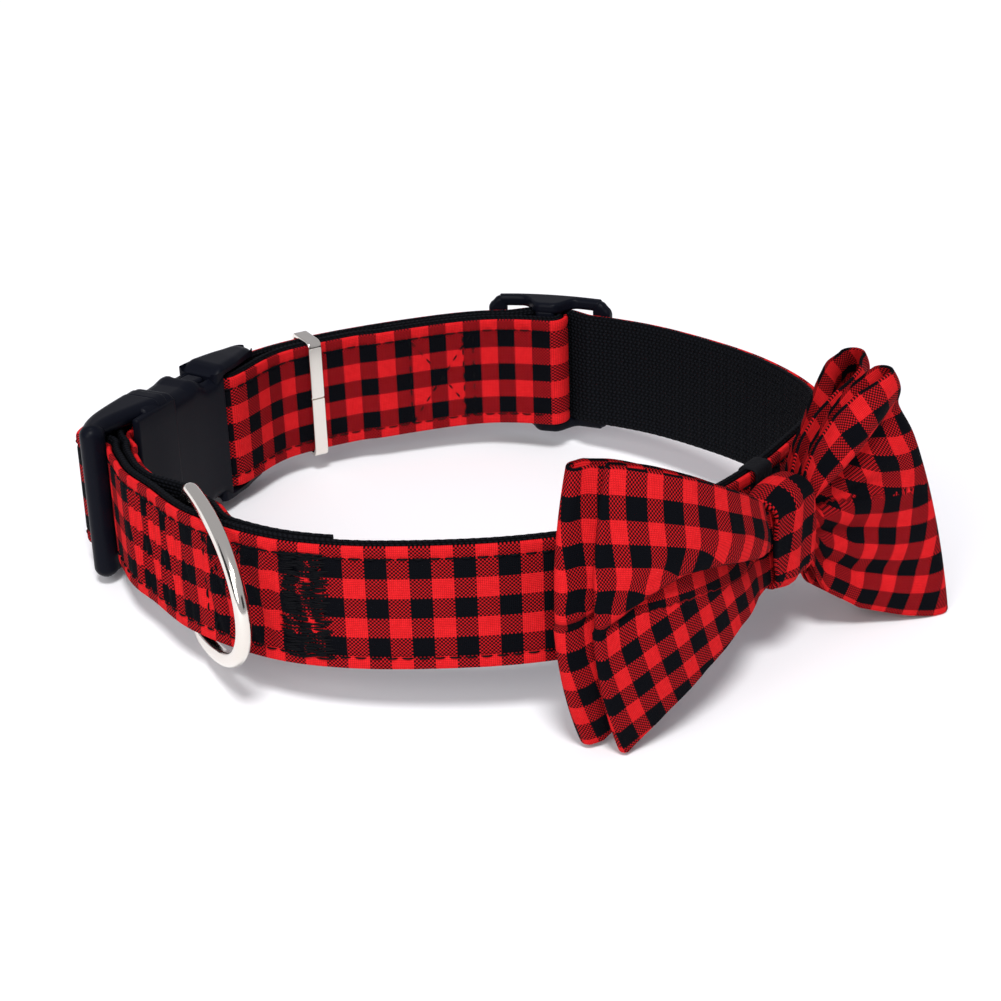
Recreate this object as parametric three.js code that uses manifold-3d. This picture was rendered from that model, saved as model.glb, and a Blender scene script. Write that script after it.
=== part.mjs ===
// A pet's collar: black webbing with a checked cotton cover, a side release buckle, a D ring,
// a slider and a metal keeper, with a two layer bow tie held on by an elastic loop.
// Millimetres, +Z up. The collar lies as it rests on a table, its base at z = 0.

import * as THREE from 'three';
import { mergeVertices } from 'three/addons/utils/BufferGeometryUtils.js';
import Module from 'manifold-3d';

const wasm = await Module();
wasm.setup();

// The closed loop, measured outside the strap.
const LOOP_LENGTH = 150;
const LOOP_DEPTH = 122;

// The strap and what lies on it.
const STRAP_WIDTH = 25;
const WEB_THICK = 1.3;
const COVER_THICK = 1.0;
const FIT = 0.3;
const FRONT_LAP = 75;
const FRONT_LAP_GAP = 0.5;
const BACK_LAP_GAP = 1.0;
const BAR_DIP_RUN = 22;
const BAR_TURN_RUN = 20;
const TAIL_LENGTH = 40;

// The side release buckle.
const END_BAR_RADIUS = 2.4;
const END_BAR_SINK = 0.4;
const LOOP_BAR_SETBACK = 11;
const LOOP_BAR_RADIUS = 1.6;
const LOOP_BAR_RISE = 0.2;
const LOOP_SLACK = 1.0;
const COLLAR_THICK = 2.7;
const PRONG_LENGTH = 17;
const PRONG_WIDTH = 3;
const SOCKET_BAR_RADIUS = 1.6;
const SOCKET_LENGTH = 35;
const SOCKET_BAR_INSET = 10.6;
const SOCKET_WALL = 1.9;
const BUCKLE_RIM = 3.7;
const BUCKLE_INNER = 8.2;
const BUCKLE_OUTER = 2.0;
const SIDE_PLAY = 0.6;

// The D ring.
const RING_SETBACK = 36;
const RING_REACH = 25.5;
const RING_HALF = 17.3;
const RING_CORNER = 4.5;
const RING_WIDE = 3.2;
const RING_THICK = 2.8;
const RING_LIFT = 1.2;
const RING_DROOP = 3;
const RING_SWING = 12;
const RING_ROOM_FLAT = 4;
const RING_ROOM_REACH = 15;

// The slider.
const SLIDER_PLACE = 0.69;
const SLIDER_LENGTH = 28;
const SLIDER_END_BAR = 3.5;
const SLIDER_THICK = 2.4;
const SLIDER_BAR_THICK = 2.2;
const SLIDER_BAR_LENGTH = 5.2;
const SLIDER_NOSE = 1;
const SLIDER_RIM = 2.6;
const STRAP_LIFT = 2.4;

// The keeper.
const KEEPER_PLACE = 0.831;
const KEEPER_WIDTH = 3.2;
const KEEPER_THICK = 1.0;

// The bow tie.
const BOW_PLACE = 0.394;
const BOW_LEAN = 6.5;
const BOW_CLOTH = 1.0;
const BOW_LIFT = 1.8;
const BOW_LEFT = 44.5;
const BOW_RIGHT = 38;
const BOW_HALF_HEIGHT = 28.8;
const BOW_FOLD_DEPTH = 3.4;
const WING_BULGE = 4.5;
const RIGHT_WING_SLANT = 3;
const WING_TWIST = 5;
const LEFT_WING_LIFT = 5.6;
const RIGHT_WING_LIFT = -5.0;
const KNOT_WIDTH = 13.5;
const KNOT_HALF_HEIGHT = 9.6;
const KNOT_CLOTH = 1.2;
const GATHER_REACH = 3.4;
const ELASTIC_WIDTH = 6;
const ELASTIC_SHIFT = 3;
const ELASTIC_THICK = 1.0;

// How the collar leans as it rests: the bow's side and the front are held up by the bow.
const REST_BOW_SIDE = 3.0;
const REST_FRONT = 3.0;

// Finishes.
const RED_CHECK = new THREE.MeshStandardMaterial({ color: 0xb01c20, roughness: 0.9, metalness: 0 });
const BLACK_WEB = new THREE.MeshStandardMaterial({ color: 0x0d0e12, roughness: 0.85, metalness: 0 });
const BLACK_PLASTIC = new THREE.MeshStandardMaterial({ color: 0x14151a, roughness: 0.42, metalness: 0 });
const NICKEL = new THREE.MeshStandardMaterial({ color: 0xd9d4c8, roughness: 0.15, metalness: 1 });

// The loop's outside line, from the buckle's end bar along the front, round and back, as shares of
// half the loop's length and half its depth.
const ROUTE = [
  { across: -0.981, deep: -0.141 },
  { across: -0.915, deep: -0.316 },
  { across: -0.817, deep: -0.477 },
  { across: -0.695, deep: -0.693 },
  { across: -0.480, deep: -0.897 },
  { across: -0.281, deep: -0.977 },
  { across: 0.008, deep: -1.000 },
  { across: 0.201, deep: -0.979 },
  { across: 0.412, deep: -0.910 },
  { across: 0.592, deep: -0.759 },
  { across: 0.747, deep: -0.556 },
  { across: 0.873, deep: -0.325 },
  { across: 0.960, deep: -0.130 },
  { across: 0.997, deep: 0.049 },
  { across: 0.975, deep: 0.190 },
  { across: 0.871, deep: 0.430 },
  { across: 0.709, deep: 0.652 },
  { across: 0.539, deep: 0.820 },
  { across: 0.293, deep: 0.961 },
  { across: 0.080, deep: 1.000 },
  { across: -0.181, deep: 0.928 },
  { across: -0.475, deep: 0.777 },
  { across: -0.629, deep: 0.639 },
  { across: -0.776, deep: 0.416 },
  { across: -0.888, deep: 0.156 },
];

// The plan of each bow layer's middle, from the knot to the wing's end: run is a share of the
// wing's length and rise is how far it stands off the strap, a share of that length too.
const FRONT_LEFT_WING = [
  { run: 0.19, rise: 0.0 },
  { run: 0.42, rise: 0.035 },
  { run: 0.72, rise: -0.02 },
  { run: 1.0, rise: -0.17 },
];
const FRONT_RIGHT_WING = [
  { run: 0.16, rise: 0.0 },
  { run: 0.25, rise: 0.01 },
  { run: 0.43, rise: 0.085 },
  { run: 0.66, rise: 0.175 },
  { run: 0.9, rise: 0.27 },
];
const REAR_LEFT_WING = [
  { run: 0.19, rise: 0.0 },
  { run: 0.42, rise: 0.005 },
  { run: 0.72, rise: -0.075 },
  { run: 1.04, rise: -0.26 },
];
const REAR_RIGHT_WING = [
  { run: 0.17, rise: 0.0 },
  { run: 0.29, rise: 0.0 },
  { run: 0.48, rise: 0.05 },
  { run: 0.74, rise: 0.1 },
  { run: 1.0, rise: 0.12 },
];

// How far a wing has spread from the knot's gather, 0, to its full height, 1, above and below its
// middle: the upper edge springs up from the knot and the lower one runs straight.
const WING_FLARE = [
  { run: 0.0, above: 0.0, below: 0.0 },
  { run: 0.15, above: 0.3, below: 0.16 },
  { run: 0.35, above: 0.57, below: 0.36 },
  { run: 0.6, above: 0.8, below: 0.61 },
  { run: 0.8, above: 0.92, below: 0.81 },
  { run: 1.0, above: 1.0, below: 1.0 },
];

const LAYER = COVER_THICK + FIT + WEB_THICK;
const COVER_FACE = COVER_THICK + FIT;
const HALF_WIDTH = STRAP_WIDTH / 2;
const SLOT_HALF = HALF_WIDTH + SIDE_PLAY;

function clamp(value, low, high) {
  return Math.min(Math.max(value, low), high);
}

// Rises from 0 to 1 between two places, level at both.
function ease(value, from, to) {
  const t = clamp((value - from) / (to - from), 0, 1);
  return t * t * (3 - 2 * t);
}

// Reads a table of rows at a share, by straight lines between rows.
function readTable(rows, key, column, value) {
  const next = rows.findIndex((row) => row[key] >= value);
  if (next === 0) return rows[0][column];
  if (next < 0) return rows[rows.length - 1][column];
  const a = rows[next - 1];
  const b = rows[next];
  return a[column] + ((b[column] - a[column]) * (value - a[key])) / (b[key] - a[key]);
}

// The loop's outside line, walked by length.
const loopLine = new THREE.CatmullRomCurve3(
  ROUTE.map((p) => new THREE.Vector3((p.across * LOOP_LENGTH) / 2, (p.deep * LOOP_DEPTH) / 2, 0)),
  true,
  'centripetal',
);
loopLine.arcLengthDivisions = 2000;
const ROUND = loopLine.getLength();

// The point, direction and outward side of the loop line at a distance from the end bar.
function lineAt(distance) {
  const share = (((distance / ROUND) % 1) + 1) % 1;
  const reach = 2 / ROUND;
  const point = loopLine.getPointAt(share);
  const ahead = loopLine.getPointAt((share + reach) % 1);
  const behind = loopLine.getPointAt((share - reach + 1) % 1);
  const along = ahead.sub(behind).normalize();
  return { point, along, out: new THREE.Vector3(along.y, -along.x, 0) };
}

// A place on the collar: distance round, distance outward from the line, height.
function place(distance, outward, height) {
  const at = lineAt(distance);
  return at.point.addScaledVector(at.out, outward).setZ(height);
}

// Closes a row of sections, each a ring of points, into one solid. Ends are capped, unless the row
// itself is a ring.
function loft(sections, ring = false) {
  const count = sections[0].length;
  const positions = [];
  const faces = [];
  for (const section of sections) {
    for (const p of section) positions.push(p.x, p.y, p.z);
  }
  const last = ring ? sections.length : sections.length - 1;
  for (let i = 0; i < last; i += 1) {
    const here = i * count;
    const there = ((i + 1) % sections.length) * count;
    for (let j = 0; j < count; j += 1) {
      const k = (j + 1) % count;
      faces.push(here + j, here + k, there + k, here + j, there + k, there + j);
    }
  }
  if (!ring) {
    const end = (sections.length - 1) * count;
    for (let j = 1; j < count - 1; j += 1) {
      faces.push(0, j + 1, j);
      faces.push(end, end + j, end + j + 1);
    }
  }
  const geometry = new THREE.BufferGeometry();
  geometry.setAttribute('position', new THREE.Float32BufferAttribute(positions, 3));
  geometry.setIndex(faces);
  if (signedVolume(geometry) < 0) {
    for (let f = 0; f < faces.length; f += 3) [faces[f + 1], faces[f + 2]] = [faces[f + 2], faces[f + 1]];
    geometry.setIndex(faces);
  }
  return geometry;
}

function signedVolume(geometry) {
  const p = geometry.getAttribute('position').array;
  const index = geometry.getIndex().array;
  let sum = 0;
  for (let f = 0; f < index.length; f += 3) {
    const [a, b, c] = [index[f] * 3, index[f + 1] * 3, index[f + 2] * 3];
    sum += p[a] * (p[b + 1] * p[c + 2] - p[b + 2] * p[c + 1]);
    sum -= p[a + 1] * (p[b] * p[c + 2] - p[b + 2] * p[c]);
    sum += p[a + 2] * (p[b] * p[c + 1] - p[b + 1] * p[c]);
  }
  return sum / 6;
}

function toSolid(geometry) {
  const bare = new THREE.BufferGeometry();
  bare.setAttribute('position', geometry.getAttribute('position').clone());
  if (geometry.getIndex()) bare.setIndex(geometry.getIndex().clone());
  const merged = mergeVertices(bare, 1e-5);
  const vertProperties = new Float32Array(merged.getAttribute('position').array);
  const triVerts = new Uint32Array(merged.getIndex().array);
  return new wasm.Manifold(new wasm.Mesh({ numProp: 3, vertProperties, triVerts }));
}

function toGeometry(solid) {
  const mesh = solid.getMesh();
  const geometry = new THREE.BufferGeometry();
  geometry.setAttribute('position', new THREE.Float32BufferAttribute(mesh.vertProperties, 3));
  geometry.setIndex(Array.from(mesh.triVerts));
  return geometry;
}

function union(solids) {
  return solids.reduce((whole, next) => whole.add(next));
}

// A rectangle with cut corners, across the strap: from low to high outward and from bottom to top.
function boxSection(distance, low, high, bottom, top, corner) {
  const c = Math.min(corner, (high - low) / 2.2, (top - bottom) / 2.2);
  return [
    [low + c, bottom], [high - c, bottom], [high, bottom + c], [high, top - c],
    [high - c, top], [low + c, top], [low, top - c], [low, bottom + c],
  ].map(([outward, height]) => place(distance, outward, height));
}

// A bar that follows the loop line, through rows of { at, low, high, bottom, top }.
function bentBar(rows, corner = 0.8, step = 3.5) {
  const sections = [];
  for (let i = 0; i < rows.length - 1; i += 1) {
    const a = rows[i];
    const b = rows[i + 1];
    const steps = Math.max(1, Math.ceil(Math.abs(b.at - a.at) / step));
    for (let j = i === 0 ? 0 : 1; j <= steps; j += 1) {
      const t = j / steps;
      const mix = (key) => a[key] + (b[key] - a[key]) * t;
      sections.push(boxSection(mix('at'), mix('low'), mix('high'), mix('bottom'), mix('top'), corner));
    }
  }
  return toSolid(loft(sections));
}

function bentBox(from, to, low, high, bottom, top, corner = 0.02) {
  return bentBar([
    { at: from, low, high, bottom, top },
    { at: to, low, high, bottom, top },
  ], corner);
}

// A round bar standing across the strap.
function crossBar(distance, outward, radius, bottom, top, sides = 14) {
  const sections = [bottom, top].map((height) => {
    const points = [];
    for (let i = 0; i < sides; i += 1) {
      const angle = (i / sides) * Math.PI * 2;
      points.push(place(distance + radius * Math.cos(angle), outward + radius * Math.sin(angle), height));
    }
    return points;
  });
  return toSolid(loft(sections));
}

// The strap's own path. Every place on it is [distance round, outward], and it follows the face of
// the webbing that the cover is sewn to.

const SLIDER_AT = SLIDER_PLACE * ROUND;
const SLIDER_REACH = SLIDER_LENGTH / 2 - SLIDER_END_BAR;

// How far the main strap's outer face stands off the loop line: under the end bar it dips, and over
// the slider's middle bar it rises.
function outerFace(distance) {
  const dip = END_BAR_SINK + END_BAR_RADIUS + FIT;
  const fromSlider = Math.abs(distance - SLIDER_AT);
  const rise = STRAP_LIFT * (1 - ease(fromSlider, SLIDER_BAR_LENGTH / 2, SLIDER_REACH));
  return rise - dip * (1 - ease(distance, 0, BAR_DIP_RUN));
}

// The two layers of the front lap part for the D ring's bar.
function frontLapFace(distance) {
  const ringRoom = RING_WIDE + 2 * FIT - FRONT_LAP_GAP;
  const ringBump = 1 - ease(Math.abs(distance - RING_SETBACK), RING_ROOM_FLAT, RING_ROOM_REACH);
  const barRoom = 0.3 * (1 - ease(distance, 2, 12));
  return outerFace(distance) - LAYER - FRONT_LAP_GAP - ringRoom * ringBump - barRoom - WEB_THICK;
}

const SOCKET_AT = -(LOOP_BAR_SETBACK + LOOP_BAR_RADIUS + LOOP_SLACK + LAYER + 2 * FIT + COLLAR_THICK + FIT);
const SOCKET_END = SOCKET_AT - SOCKET_LENGTH;
const SOCKET_BAR_AT = SOCKET_END + SOCKET_BAR_INSET;
const SOCKET_BAR_OUT = -LAYER - FIT - SOCKET_BAR_RADIUS;
const SOCKET_TURN = SOCKET_BAR_RADIUS + FIT + WEB_THICK;
const SLIDER_BAR_OUT = STRAP_LIFT - LAYER - FIT - WEB_THICK - FIT - SLIDER_BAR_THICK / 2;
const SLIDER_TURN = SLIDER_BAR_THICK / 2 + FIT + WEB_THICK;
const BACK_TURN_AT = ROUND + SOCKET_BAR_AT;

// The inner layer at the back, between the socket's bar and the slider's middle bar.
function backLapFace(distance) {
  const overTail = -LAYER - FIT - WEB_THICK - FIT - WEB_THICK;
  const loose = -LAYER - BACK_LAP_GAP - WEB_THICK;
  const atSlider = SLIDER_BAR_OUT - SLIDER_TURN;
  const atSocket = SOCKET_BAR_OUT - SOCKET_TURN;
  const tailEnd = SLIDER_AT + TAIL_LENGTH;
  let face = atSlider + (overTail - atSlider) * ease(distance, SLIDER_AT + 4, SLIDER_AT + 14);
  face += (loose - overTail) * ease(distance, tailEnd + 1, tailEnd + 8);
  return face + (atSocket - loose) * ease(distance, BACK_TURN_AT - BAR_TURN_RUN, BACK_TURN_AT);
}

function tailFace(distance) {
  return outerFace(distance) - LAYER - FIT;
}

function runPoints(from, to, face, step = 3) {
  const steps = Math.max(1, Math.ceil(Math.abs(to - from) / step));
  return Array.from({ length: steps + 1 }, (unused, i) => {
    const distance = from + ((to - from) * i) / steps;
    return [distance, face(distance)];
  });
}

function arcPoints(centre, radius, from, to, steps) {
  return Array.from({ length: steps + 1 }, (unused, i) => {
    const angle = THREE.MathUtils.degToRad(from + ((to - from) * i) / steps);
    return [centre[0] + radius * Math.cos(angle), centre[1] + radius * Math.sin(angle)];
  });
}

// The strap runs under the end bar and over the loop bar like a belt crossing two pulleys.
const END_BAR = [0, -END_BAR_SINK];
const END_TURN = END_BAR_RADIUS + FIT + COVER_THICK + FIT;
const LOOP_TURN = LOOP_BAR_RADIUS + FIT + WEB_THICK + LOOP_SLACK;
const LOOP_CENTRE = [-LOOP_BAR_SETBACK, LOOP_BAR_RISE + LOOP_SLACK * 0.8];
const beltRun = Math.hypot(LOOP_CENTRE[0] - END_BAR[0], LOOP_CENTRE[1] - END_BAR[1]);
const beltLine = Math.atan2(LOOP_CENTRE[1] - END_BAR[1], LOOP_CENTRE[0] - END_BAR[0]);
const beltTurn = Math.acos(clamp((END_TURN + LOOP_TURN) / beltRun, 0, 1));
const beltAngle = THREE.MathUtils.radToDeg(beltLine + beltTurn);

function innerDip(distance) {
  const from = LOOP_CENTRE[1] - LOOP_TURN;
  return from + (frontLapFace(0) - from) * ease(distance, LOOP_CENTRE[0], -1);
}

const frontLap = runPoints(FRONT_LAP, 0, frontLapFace);
const dip = runPoints(-1, LOOP_CENTRE[0], innerDip, 1.5);
const loopTurn = arcPoints(LOOP_CENTRE, LOOP_TURN, 270, beltAngle - 180, 14);
const endTurn = arcPoints(END_BAR, END_TURN, beltAngle, 270, 4);
const mainRun = runPoints(0, BACK_TURN_AT, (d) => outerFace(d) - COVER_FACE);
const socketTurn = arcPoints([BACK_TURN_AT, SOCKET_BAR_OUT], SOCKET_TURN, 90, -90, 12);
const sliderCentre = [SLIDER_AT - SLIDER_NOSE, SLIDER_BAR_OUT];
const backLap = runPoints(BACK_TURN_AT, sliderCentre[0], backLapFace);
const sliderTurn = arcPoints(sliderCentre, SLIDER_TURN, 270, 90, 12);
const tail = runPoints(sliderCentre[0], SLIDER_AT + TAIL_LENGTH, tailFace);

const covered = [
  ...frontLap, ...dip, ...loopTurn.slice(1), ...endTurn, ...mainRun.slice(1),
  ...socketTurn.slice(1), ...backLap.slice(1), ...sliderTurn.slice(1, 9),
];
const strapPath = [...covered, ...sliderTurn.slice(9), ...tail.slice(1)];

// A flat band along part of the strap's path, between two depths off its covered face.
function band(path, near, far, halfWidth) {
  const points = path.map(([distance, outward]) => place(distance, outward, 0));
  const sections = points.map((point, i) => {
    const before = points[Math.max(i - 1, 0)];
    const after = points[Math.min(i + 1, points.length - 1)];
    const along = after.clone().sub(before).normalize();
    const side = new THREE.Vector3(along.y, -along.x, 0);
    const a = point.clone().addScaledVector(side, near);
    const b = point.clone().addScaledVector(side, far);
    return [
      a.clone().setZ(-halfWidth), b.clone().setZ(-halfWidth),
      b.clone().setZ(halfWidth), a.clone().setZ(halfWidth),
    ];
  });
  return loft(sections);
}

function webbingStrap() {
  return band(strapPath, -WEB_THICK, 0, HALF_WIDTH);
}

function plaidCover() {
  return band(covered, FIT, COVER_FACE, HALF_WIDTH - FIT);
}

// The buckle's male half: an end bar, a bar the strap is looped round, a collar and two sprung
// prongs, between two rails.
const RAIL_TOP = SLOT_HALF + BUCKLE_RIM;
const COLLAR_END = SOCKET_AT + FIT;
const COLLAR_START = COLLAR_END + COLLAR_THICK;

function bucklePlug() {
  const barLow = -END_BAR_SINK - END_BAR_RADIUS;
  const barHigh = END_BAR_RADIUS - END_BAR_SINK;
  const rails = [1, -1].map((side) => {
    const bottom = Math.min(side * SLOT_HALF, side * RAIL_TOP);
    const top = Math.max(side * SLOT_HALF, side * RAIL_TOP);
    return bentBar([
      { at: END_BAR_RADIUS * 0.5, low: barLow + 0.5, high: barHigh - 0.4, bottom, top },
      { at: -END_BAR_RADIUS * 2, low: barLow - 0.8, high: barHigh, bottom, top },
      { at: COLLAR_START - 0.5, low: -BUCKLE_INNER + 0.4, high: BUCKLE_OUTER - 0.2, bottom, top },
    ], 1.2);
  });
  const collar = bentBox(
    COLLAR_START, COLLAR_END, -BUCKLE_INNER + 0.4, BUCKLE_OUTER - 0.2, -RAIL_TOP, RAIL_TOP, 1.2,
  );
  const endBar = crossBar(0, -END_BAR_SINK, END_BAR_RADIUS, -RAIL_TOP, RAIL_TOP);
  const loopBar = crossBar(-LOOP_BAR_SETBACK, LOOP_BAR_RISE, LOOP_BAR_RADIUS, -SLOT_HALF - 1, SLOT_HALF + 1);
  const prongs = [1, -1].flatMap((side) => {
    const outer = RAIL_TOP - SOCKET_WALL - 2 * FIT - 1;
    const arm = [side * (outer - PRONG_WIDTH), side * outer].sort((a, b) => a - b);
    const tab = [side * (outer - 1), side * (outer + 1.6)].sort((a, b) => a - b);
    const tip = SOCKET_AT - PRONG_LENGTH;
    return [
      bentBox(COLLAR_END + 0.5, tip, -BUCKLE_INNER + 2.6, -1.2, arm[0], arm[1], 0.5),
      bentBox(tip + 5, tip, -BUCKLE_INNER + 2.6, -1.2, tab[0], tab[1], 0.5),
    ];
  });
  return toGeometry(union([...rails, collar, endBar, loopBar, ...prongs]));
}

// The buckle's female half: a hollow shell with two side windows that show the prongs' tabs, and
// long ears that carry the bar the strap turns round.
function buckleSocket() {
  const outline = [
    { in: 0, tall: -1.0, low: 0.2, high: 0.3 },
    { in: 8.6, tall: -1.0, low: 0, high: 0 },
    { in: 9.2, tall: -0.6, low: 0, high: 0 },
    { in: 12.4, tall: -0.6, low: 0, high: 0 },
    { in: 13.4, tall: -2.0, low: 0, high: 0 },
    { in: 18.6, tall: -1.6, low: 0, high: 0 },
    { in: 20.4, tall: 0.5, low: 0, high: 0 },
    { in: 27.0, tall: 0.5, low: 1.0, high: 0.8 },
    { in: SOCKET_LENGTH - 1.5, tall: 0.3, low: 3.4, high: 1.4 },
    { in: SOCKET_LENGTH, tall: -0.8, low: 4.0, high: 2.0 },
  ];
  const shell = bentBar(outline.map((row) => ({
    at: SOCKET_AT - row.in,
    low: -BUCKLE_INNER + row.low,
    high: BUCKLE_OUTER - row.high,
    bottom: -RAIL_TOP - row.tall,
    top: RAIL_TOP + row.tall,
  })), 1.6);
  const pocketHalf = RAIL_TOP - 1 - SOCKET_WALL;
  const pocket = bentBox(
    SOCKET_AT + 1, SOCKET_AT - PRONG_LENGTH - 0.6,
    -BUCKLE_INNER + SOCKET_WALL, BUCKLE_OUTER - SOCKET_WALL, -pocketHalf, pocketHalf,
  );
  const windows = [1, -1].map((side) => {
    const reach = [side * (pocketHalf - 0.5), side * (RAIL_TOP + 3)].sort((a, b) => a - b);
    return bentBox(
      SOCKET_AT - PRONG_LENGTH + 5.4, SOCKET_AT - PRONG_LENGTH - 0.6,
      -BUCKLE_INNER + 2.0, -0.6, reach[0], reach[1],
    );
  });
  const slotFront = SOCKET_BAR_AT + SOCKET_TURN + COVER_FACE + FIT;
  const slot = bentBox(
    slotFront, SOCKET_END - 1, -BUCKLE_INNER - 2, BUCKLE_OUTER + 2, -SLOT_HALF, SLOT_HALF,
  );
  const bar = crossBar(SOCKET_BAR_AT, SOCKET_BAR_OUT, SOCKET_BAR_RADIUS, -SLOT_HALF - 1, SLOT_HALF + 1);
  const hollow = [pocket, ...windows, slot].reduce((body, cut) => body.subtract(cut), shell);
  return toGeometry(hollow.add(bar));
}

// The slider: two end bars outside the strap and a sunk middle bar that the lap is sewn round.
function slider() {
  const inner = SLOT_HALF;
  const outer = SLOT_HALF + SLIDER_RIM;
  const face = FIT + SLIDER_THICK;
  const barLow = SLIDER_BAR_OUT - SLIDER_BAR_THICK / 2;
  const rails = [1, -1].map((side) => {
    const [bottom, top] = [side * inner, side * outer].sort((a, b) => a - b);
    return bentBar([
      { at: SLIDER_AT - SLIDER_LENGTH / 2, low: FIT, high: face, bottom, top },
      { at: SLIDER_AT - SLIDER_REACH, low: FIT, high: face, bottom, top },
      { at: SLIDER_AT - SLIDER_BAR_LENGTH / 2, low: barLow, high: face, bottom, top },
      { at: SLIDER_AT + SLIDER_BAR_LENGTH / 2, low: barLow, high: face, bottom, top },
      { at: SLIDER_AT + SLIDER_REACH, low: FIT, high: face, bottom, top },
      { at: SLIDER_AT + SLIDER_LENGTH / 2, low: FIT, high: face, bottom, top },
    ], 0.7);
  });
  const endBars = [1, -1].map((side) => bentBox(
    SLIDER_AT + (side * SLIDER_LENGTH) / 2, SLIDER_AT + side * SLIDER_REACH,
    FIT, face, -outer + 0.5, outer - 0.5, 0.7,
  ));
  const middle = bentBox(
    SLIDER_AT - SLIDER_NOSE, SLIDER_AT + SLIDER_BAR_LENGTH / 2,
    barLow, barLow + SLIDER_BAR_THICK, -inner - 1, inner + 1,
  );
  const nose = crossBar(
    SLIDER_AT - SLIDER_NOSE, SLIDER_BAR_OUT, SLIDER_BAR_THICK / 2, -inner - 1, inner + 1,
  );
  return toGeometry(union([...rails, ...endBars, middle, nose]));
}

// A flat loop bent round the strap: wall by width, round everything between two depths.
function flatLoop(low, high, half, wall, width, corner) {
  const outline = roundedRectangle(low - wall, high + wall, half + wall, corner + wall);
  outline.holes.push(roundedRectangle(low, high, half, corner));
  const geometry = new THREE.ExtrudeGeometry(outline, { depth: width, bevelEnabled: false, curveSegments: 3 });
  return geometry.translate(0, 0, -width / 2);
}

function roundedRectangle(low, high, half, corner) {
  const shape = new THREE.Shape();
  shape.moveTo(low + corner, -half);
  shape.lineTo(high - corner, -half);
  shape.absarc(high - corner, -half + corner, corner, -Math.PI / 2, 0);
  shape.lineTo(high, half - corner);
  shape.absarc(high - corner, half - corner, corner, 0, Math.PI / 2);
  shape.lineTo(low + corner, half);
  shape.absarc(low + corner, half - corner, corner, Math.PI / 2, Math.PI);
  shape.lineTo(low, -half + corner);
  shape.absarc(low + corner, -half + corner, corner, Math.PI, Math.PI * 1.5);
  return shape;
}

// Turns a shape drawn outward, up and along into the collar's own directions at a distance round.
function standAt(object, distance) {
  const at = lineAt(distance);
  const basis = new THREE.Matrix4().makeBasis(at.out, new THREE.Vector3(0, 0, 1), at.along.negate());
  object.setRotationFromMatrix(basis);
  object.position.copy(at.point);
  return object;
}

// The D ring: a straight bar, two round corners and half an ellipse, of one oval section.
function dRing() {
  const rise = RING_HALF;
  const points = [];
  for (let i = 0; i <= 3; i += 1) points.push([0, (i / 3 - 0.5) * 2 * (rise - RING_CORNER)]);
  for (let i = 1; i <= 4; i += 1) {
    const a = (i / 4) * (Math.PI / 2);
    points.push([RING_CORNER * (1 - Math.cos(a)), rise - RING_CORNER * (1 - Math.sin(a))]);
  }
  const span = RING_REACH - RING_CORNER;
  for (let i = 1; i < 16; i += 1) {
    const a = (i / 16) * Math.PI;
    points.push([RING_CORNER + span * Math.sin(a), rise * Math.cos(a)]);
  }
  for (let i = 0; i < 4; i += 1) {
    const a = (1 - i / 4) * (Math.PI / 2);
    points.push([RING_CORNER * (1 - Math.cos(a)), -rise + RING_CORNER * (1 - Math.sin(a))]);
  }
  const sections = points.map(([reach, height], i) => {
    const before = points[(i + points.length - 1) % points.length];
    const after = points[(i + 1) % points.length];
    const along = new THREE.Vector2(after[0] - before[0], after[1] - before[1]).normalize();
    return Array.from({ length: 8 }, (unused, k) => {
      const angle = ((k + 0.5) / 8) * Math.PI * 2;
      const across = (RING_WIDE / 2) * Math.cos(angle);
      const off = (RING_THICK / 2) * Math.sin(angle);
      return new THREE.Vector3(reach + along.y * across, off, height - along.x * across);
    });
  });
  return loft(sections, true);
}

// Where the ring's bar stands, and the way the ring points from it.
function ringFrame() {
  const outward = outerFace(RING_SETBACK) - LAYER - FIT - RING_WIDE / 2;
  const at = lineAt(RING_SETBACK);
  const swing = THREE.MathUtils.degToRad(RING_SWING);
  const droop = THREE.MathUtils.degToRad(RING_DROOP);
  const level = at.along.clone().multiplyScalar(Math.cos(swing)).addScaledVector(at.out, Math.sin(swing));
  const up = new THREE.Vector3(0, 0, 1);
  const reach = level.clone().multiplyScalar(Math.cos(droop)).addScaledVector(up, -Math.sin(droop));
  const rise = level.clone().multiplyScalar(Math.sin(droop)).addScaledVector(up, Math.cos(droop));
  const normal = rise.clone().cross(reach);
  return { origin: place(RING_SETBACK, outward, RING_LIFT), reach, normal, rise };
}

// One layer of the bow: a flat tube of cloth, open above and below, drawn together at the knot.
const GATHER_HALF = KNOT_HALF_HEIGHT - KNOT_CLOTH - 2 * FIT;
const KNOT_STACK = FIT + ELASTIC_THICK + FIT + KNOT_CLOTH + FIT;
const SHEET_STEP = BOW_CLOTH + FIT;
const REAR_MIDDLE = KNOT_STACK + BOW_CLOTH / 2 + SHEET_STEP / 2;
const FRONT_MIDDLE = REAR_MIDDLE + 2 * SHEET_STEP;

function wingCurve(middle, leftRows, rightRows) {
  const left = leftRows.map((r) => new THREE.Vector3(-r.run * BOW_LEFT, -middle - r.rise * BOW_LEFT, 0));
  const right = rightRows.map((r) => new THREE.Vector3(r.run * BOW_RIGHT, -middle - r.rise * BOW_RIGHT, 0));
  const points = [...left.reverse(), new THREE.Vector3(0, -middle, 0), ...right];
  return new THREE.CatmullRomCurve3(points, false, 'centripetal');
}

// How far along its wing a place is, from 0 at the knot to 1 at the wing's end.
function wingShare(run) {
  const start = KNOT_WIDTH / 2 + GATHER_REACH;
  const length = run < 0 ? BOW_LEFT : BOW_RIGHT;
  return clamp((Math.abs(run) - start) / (length - start), 0, 1);
}

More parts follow.
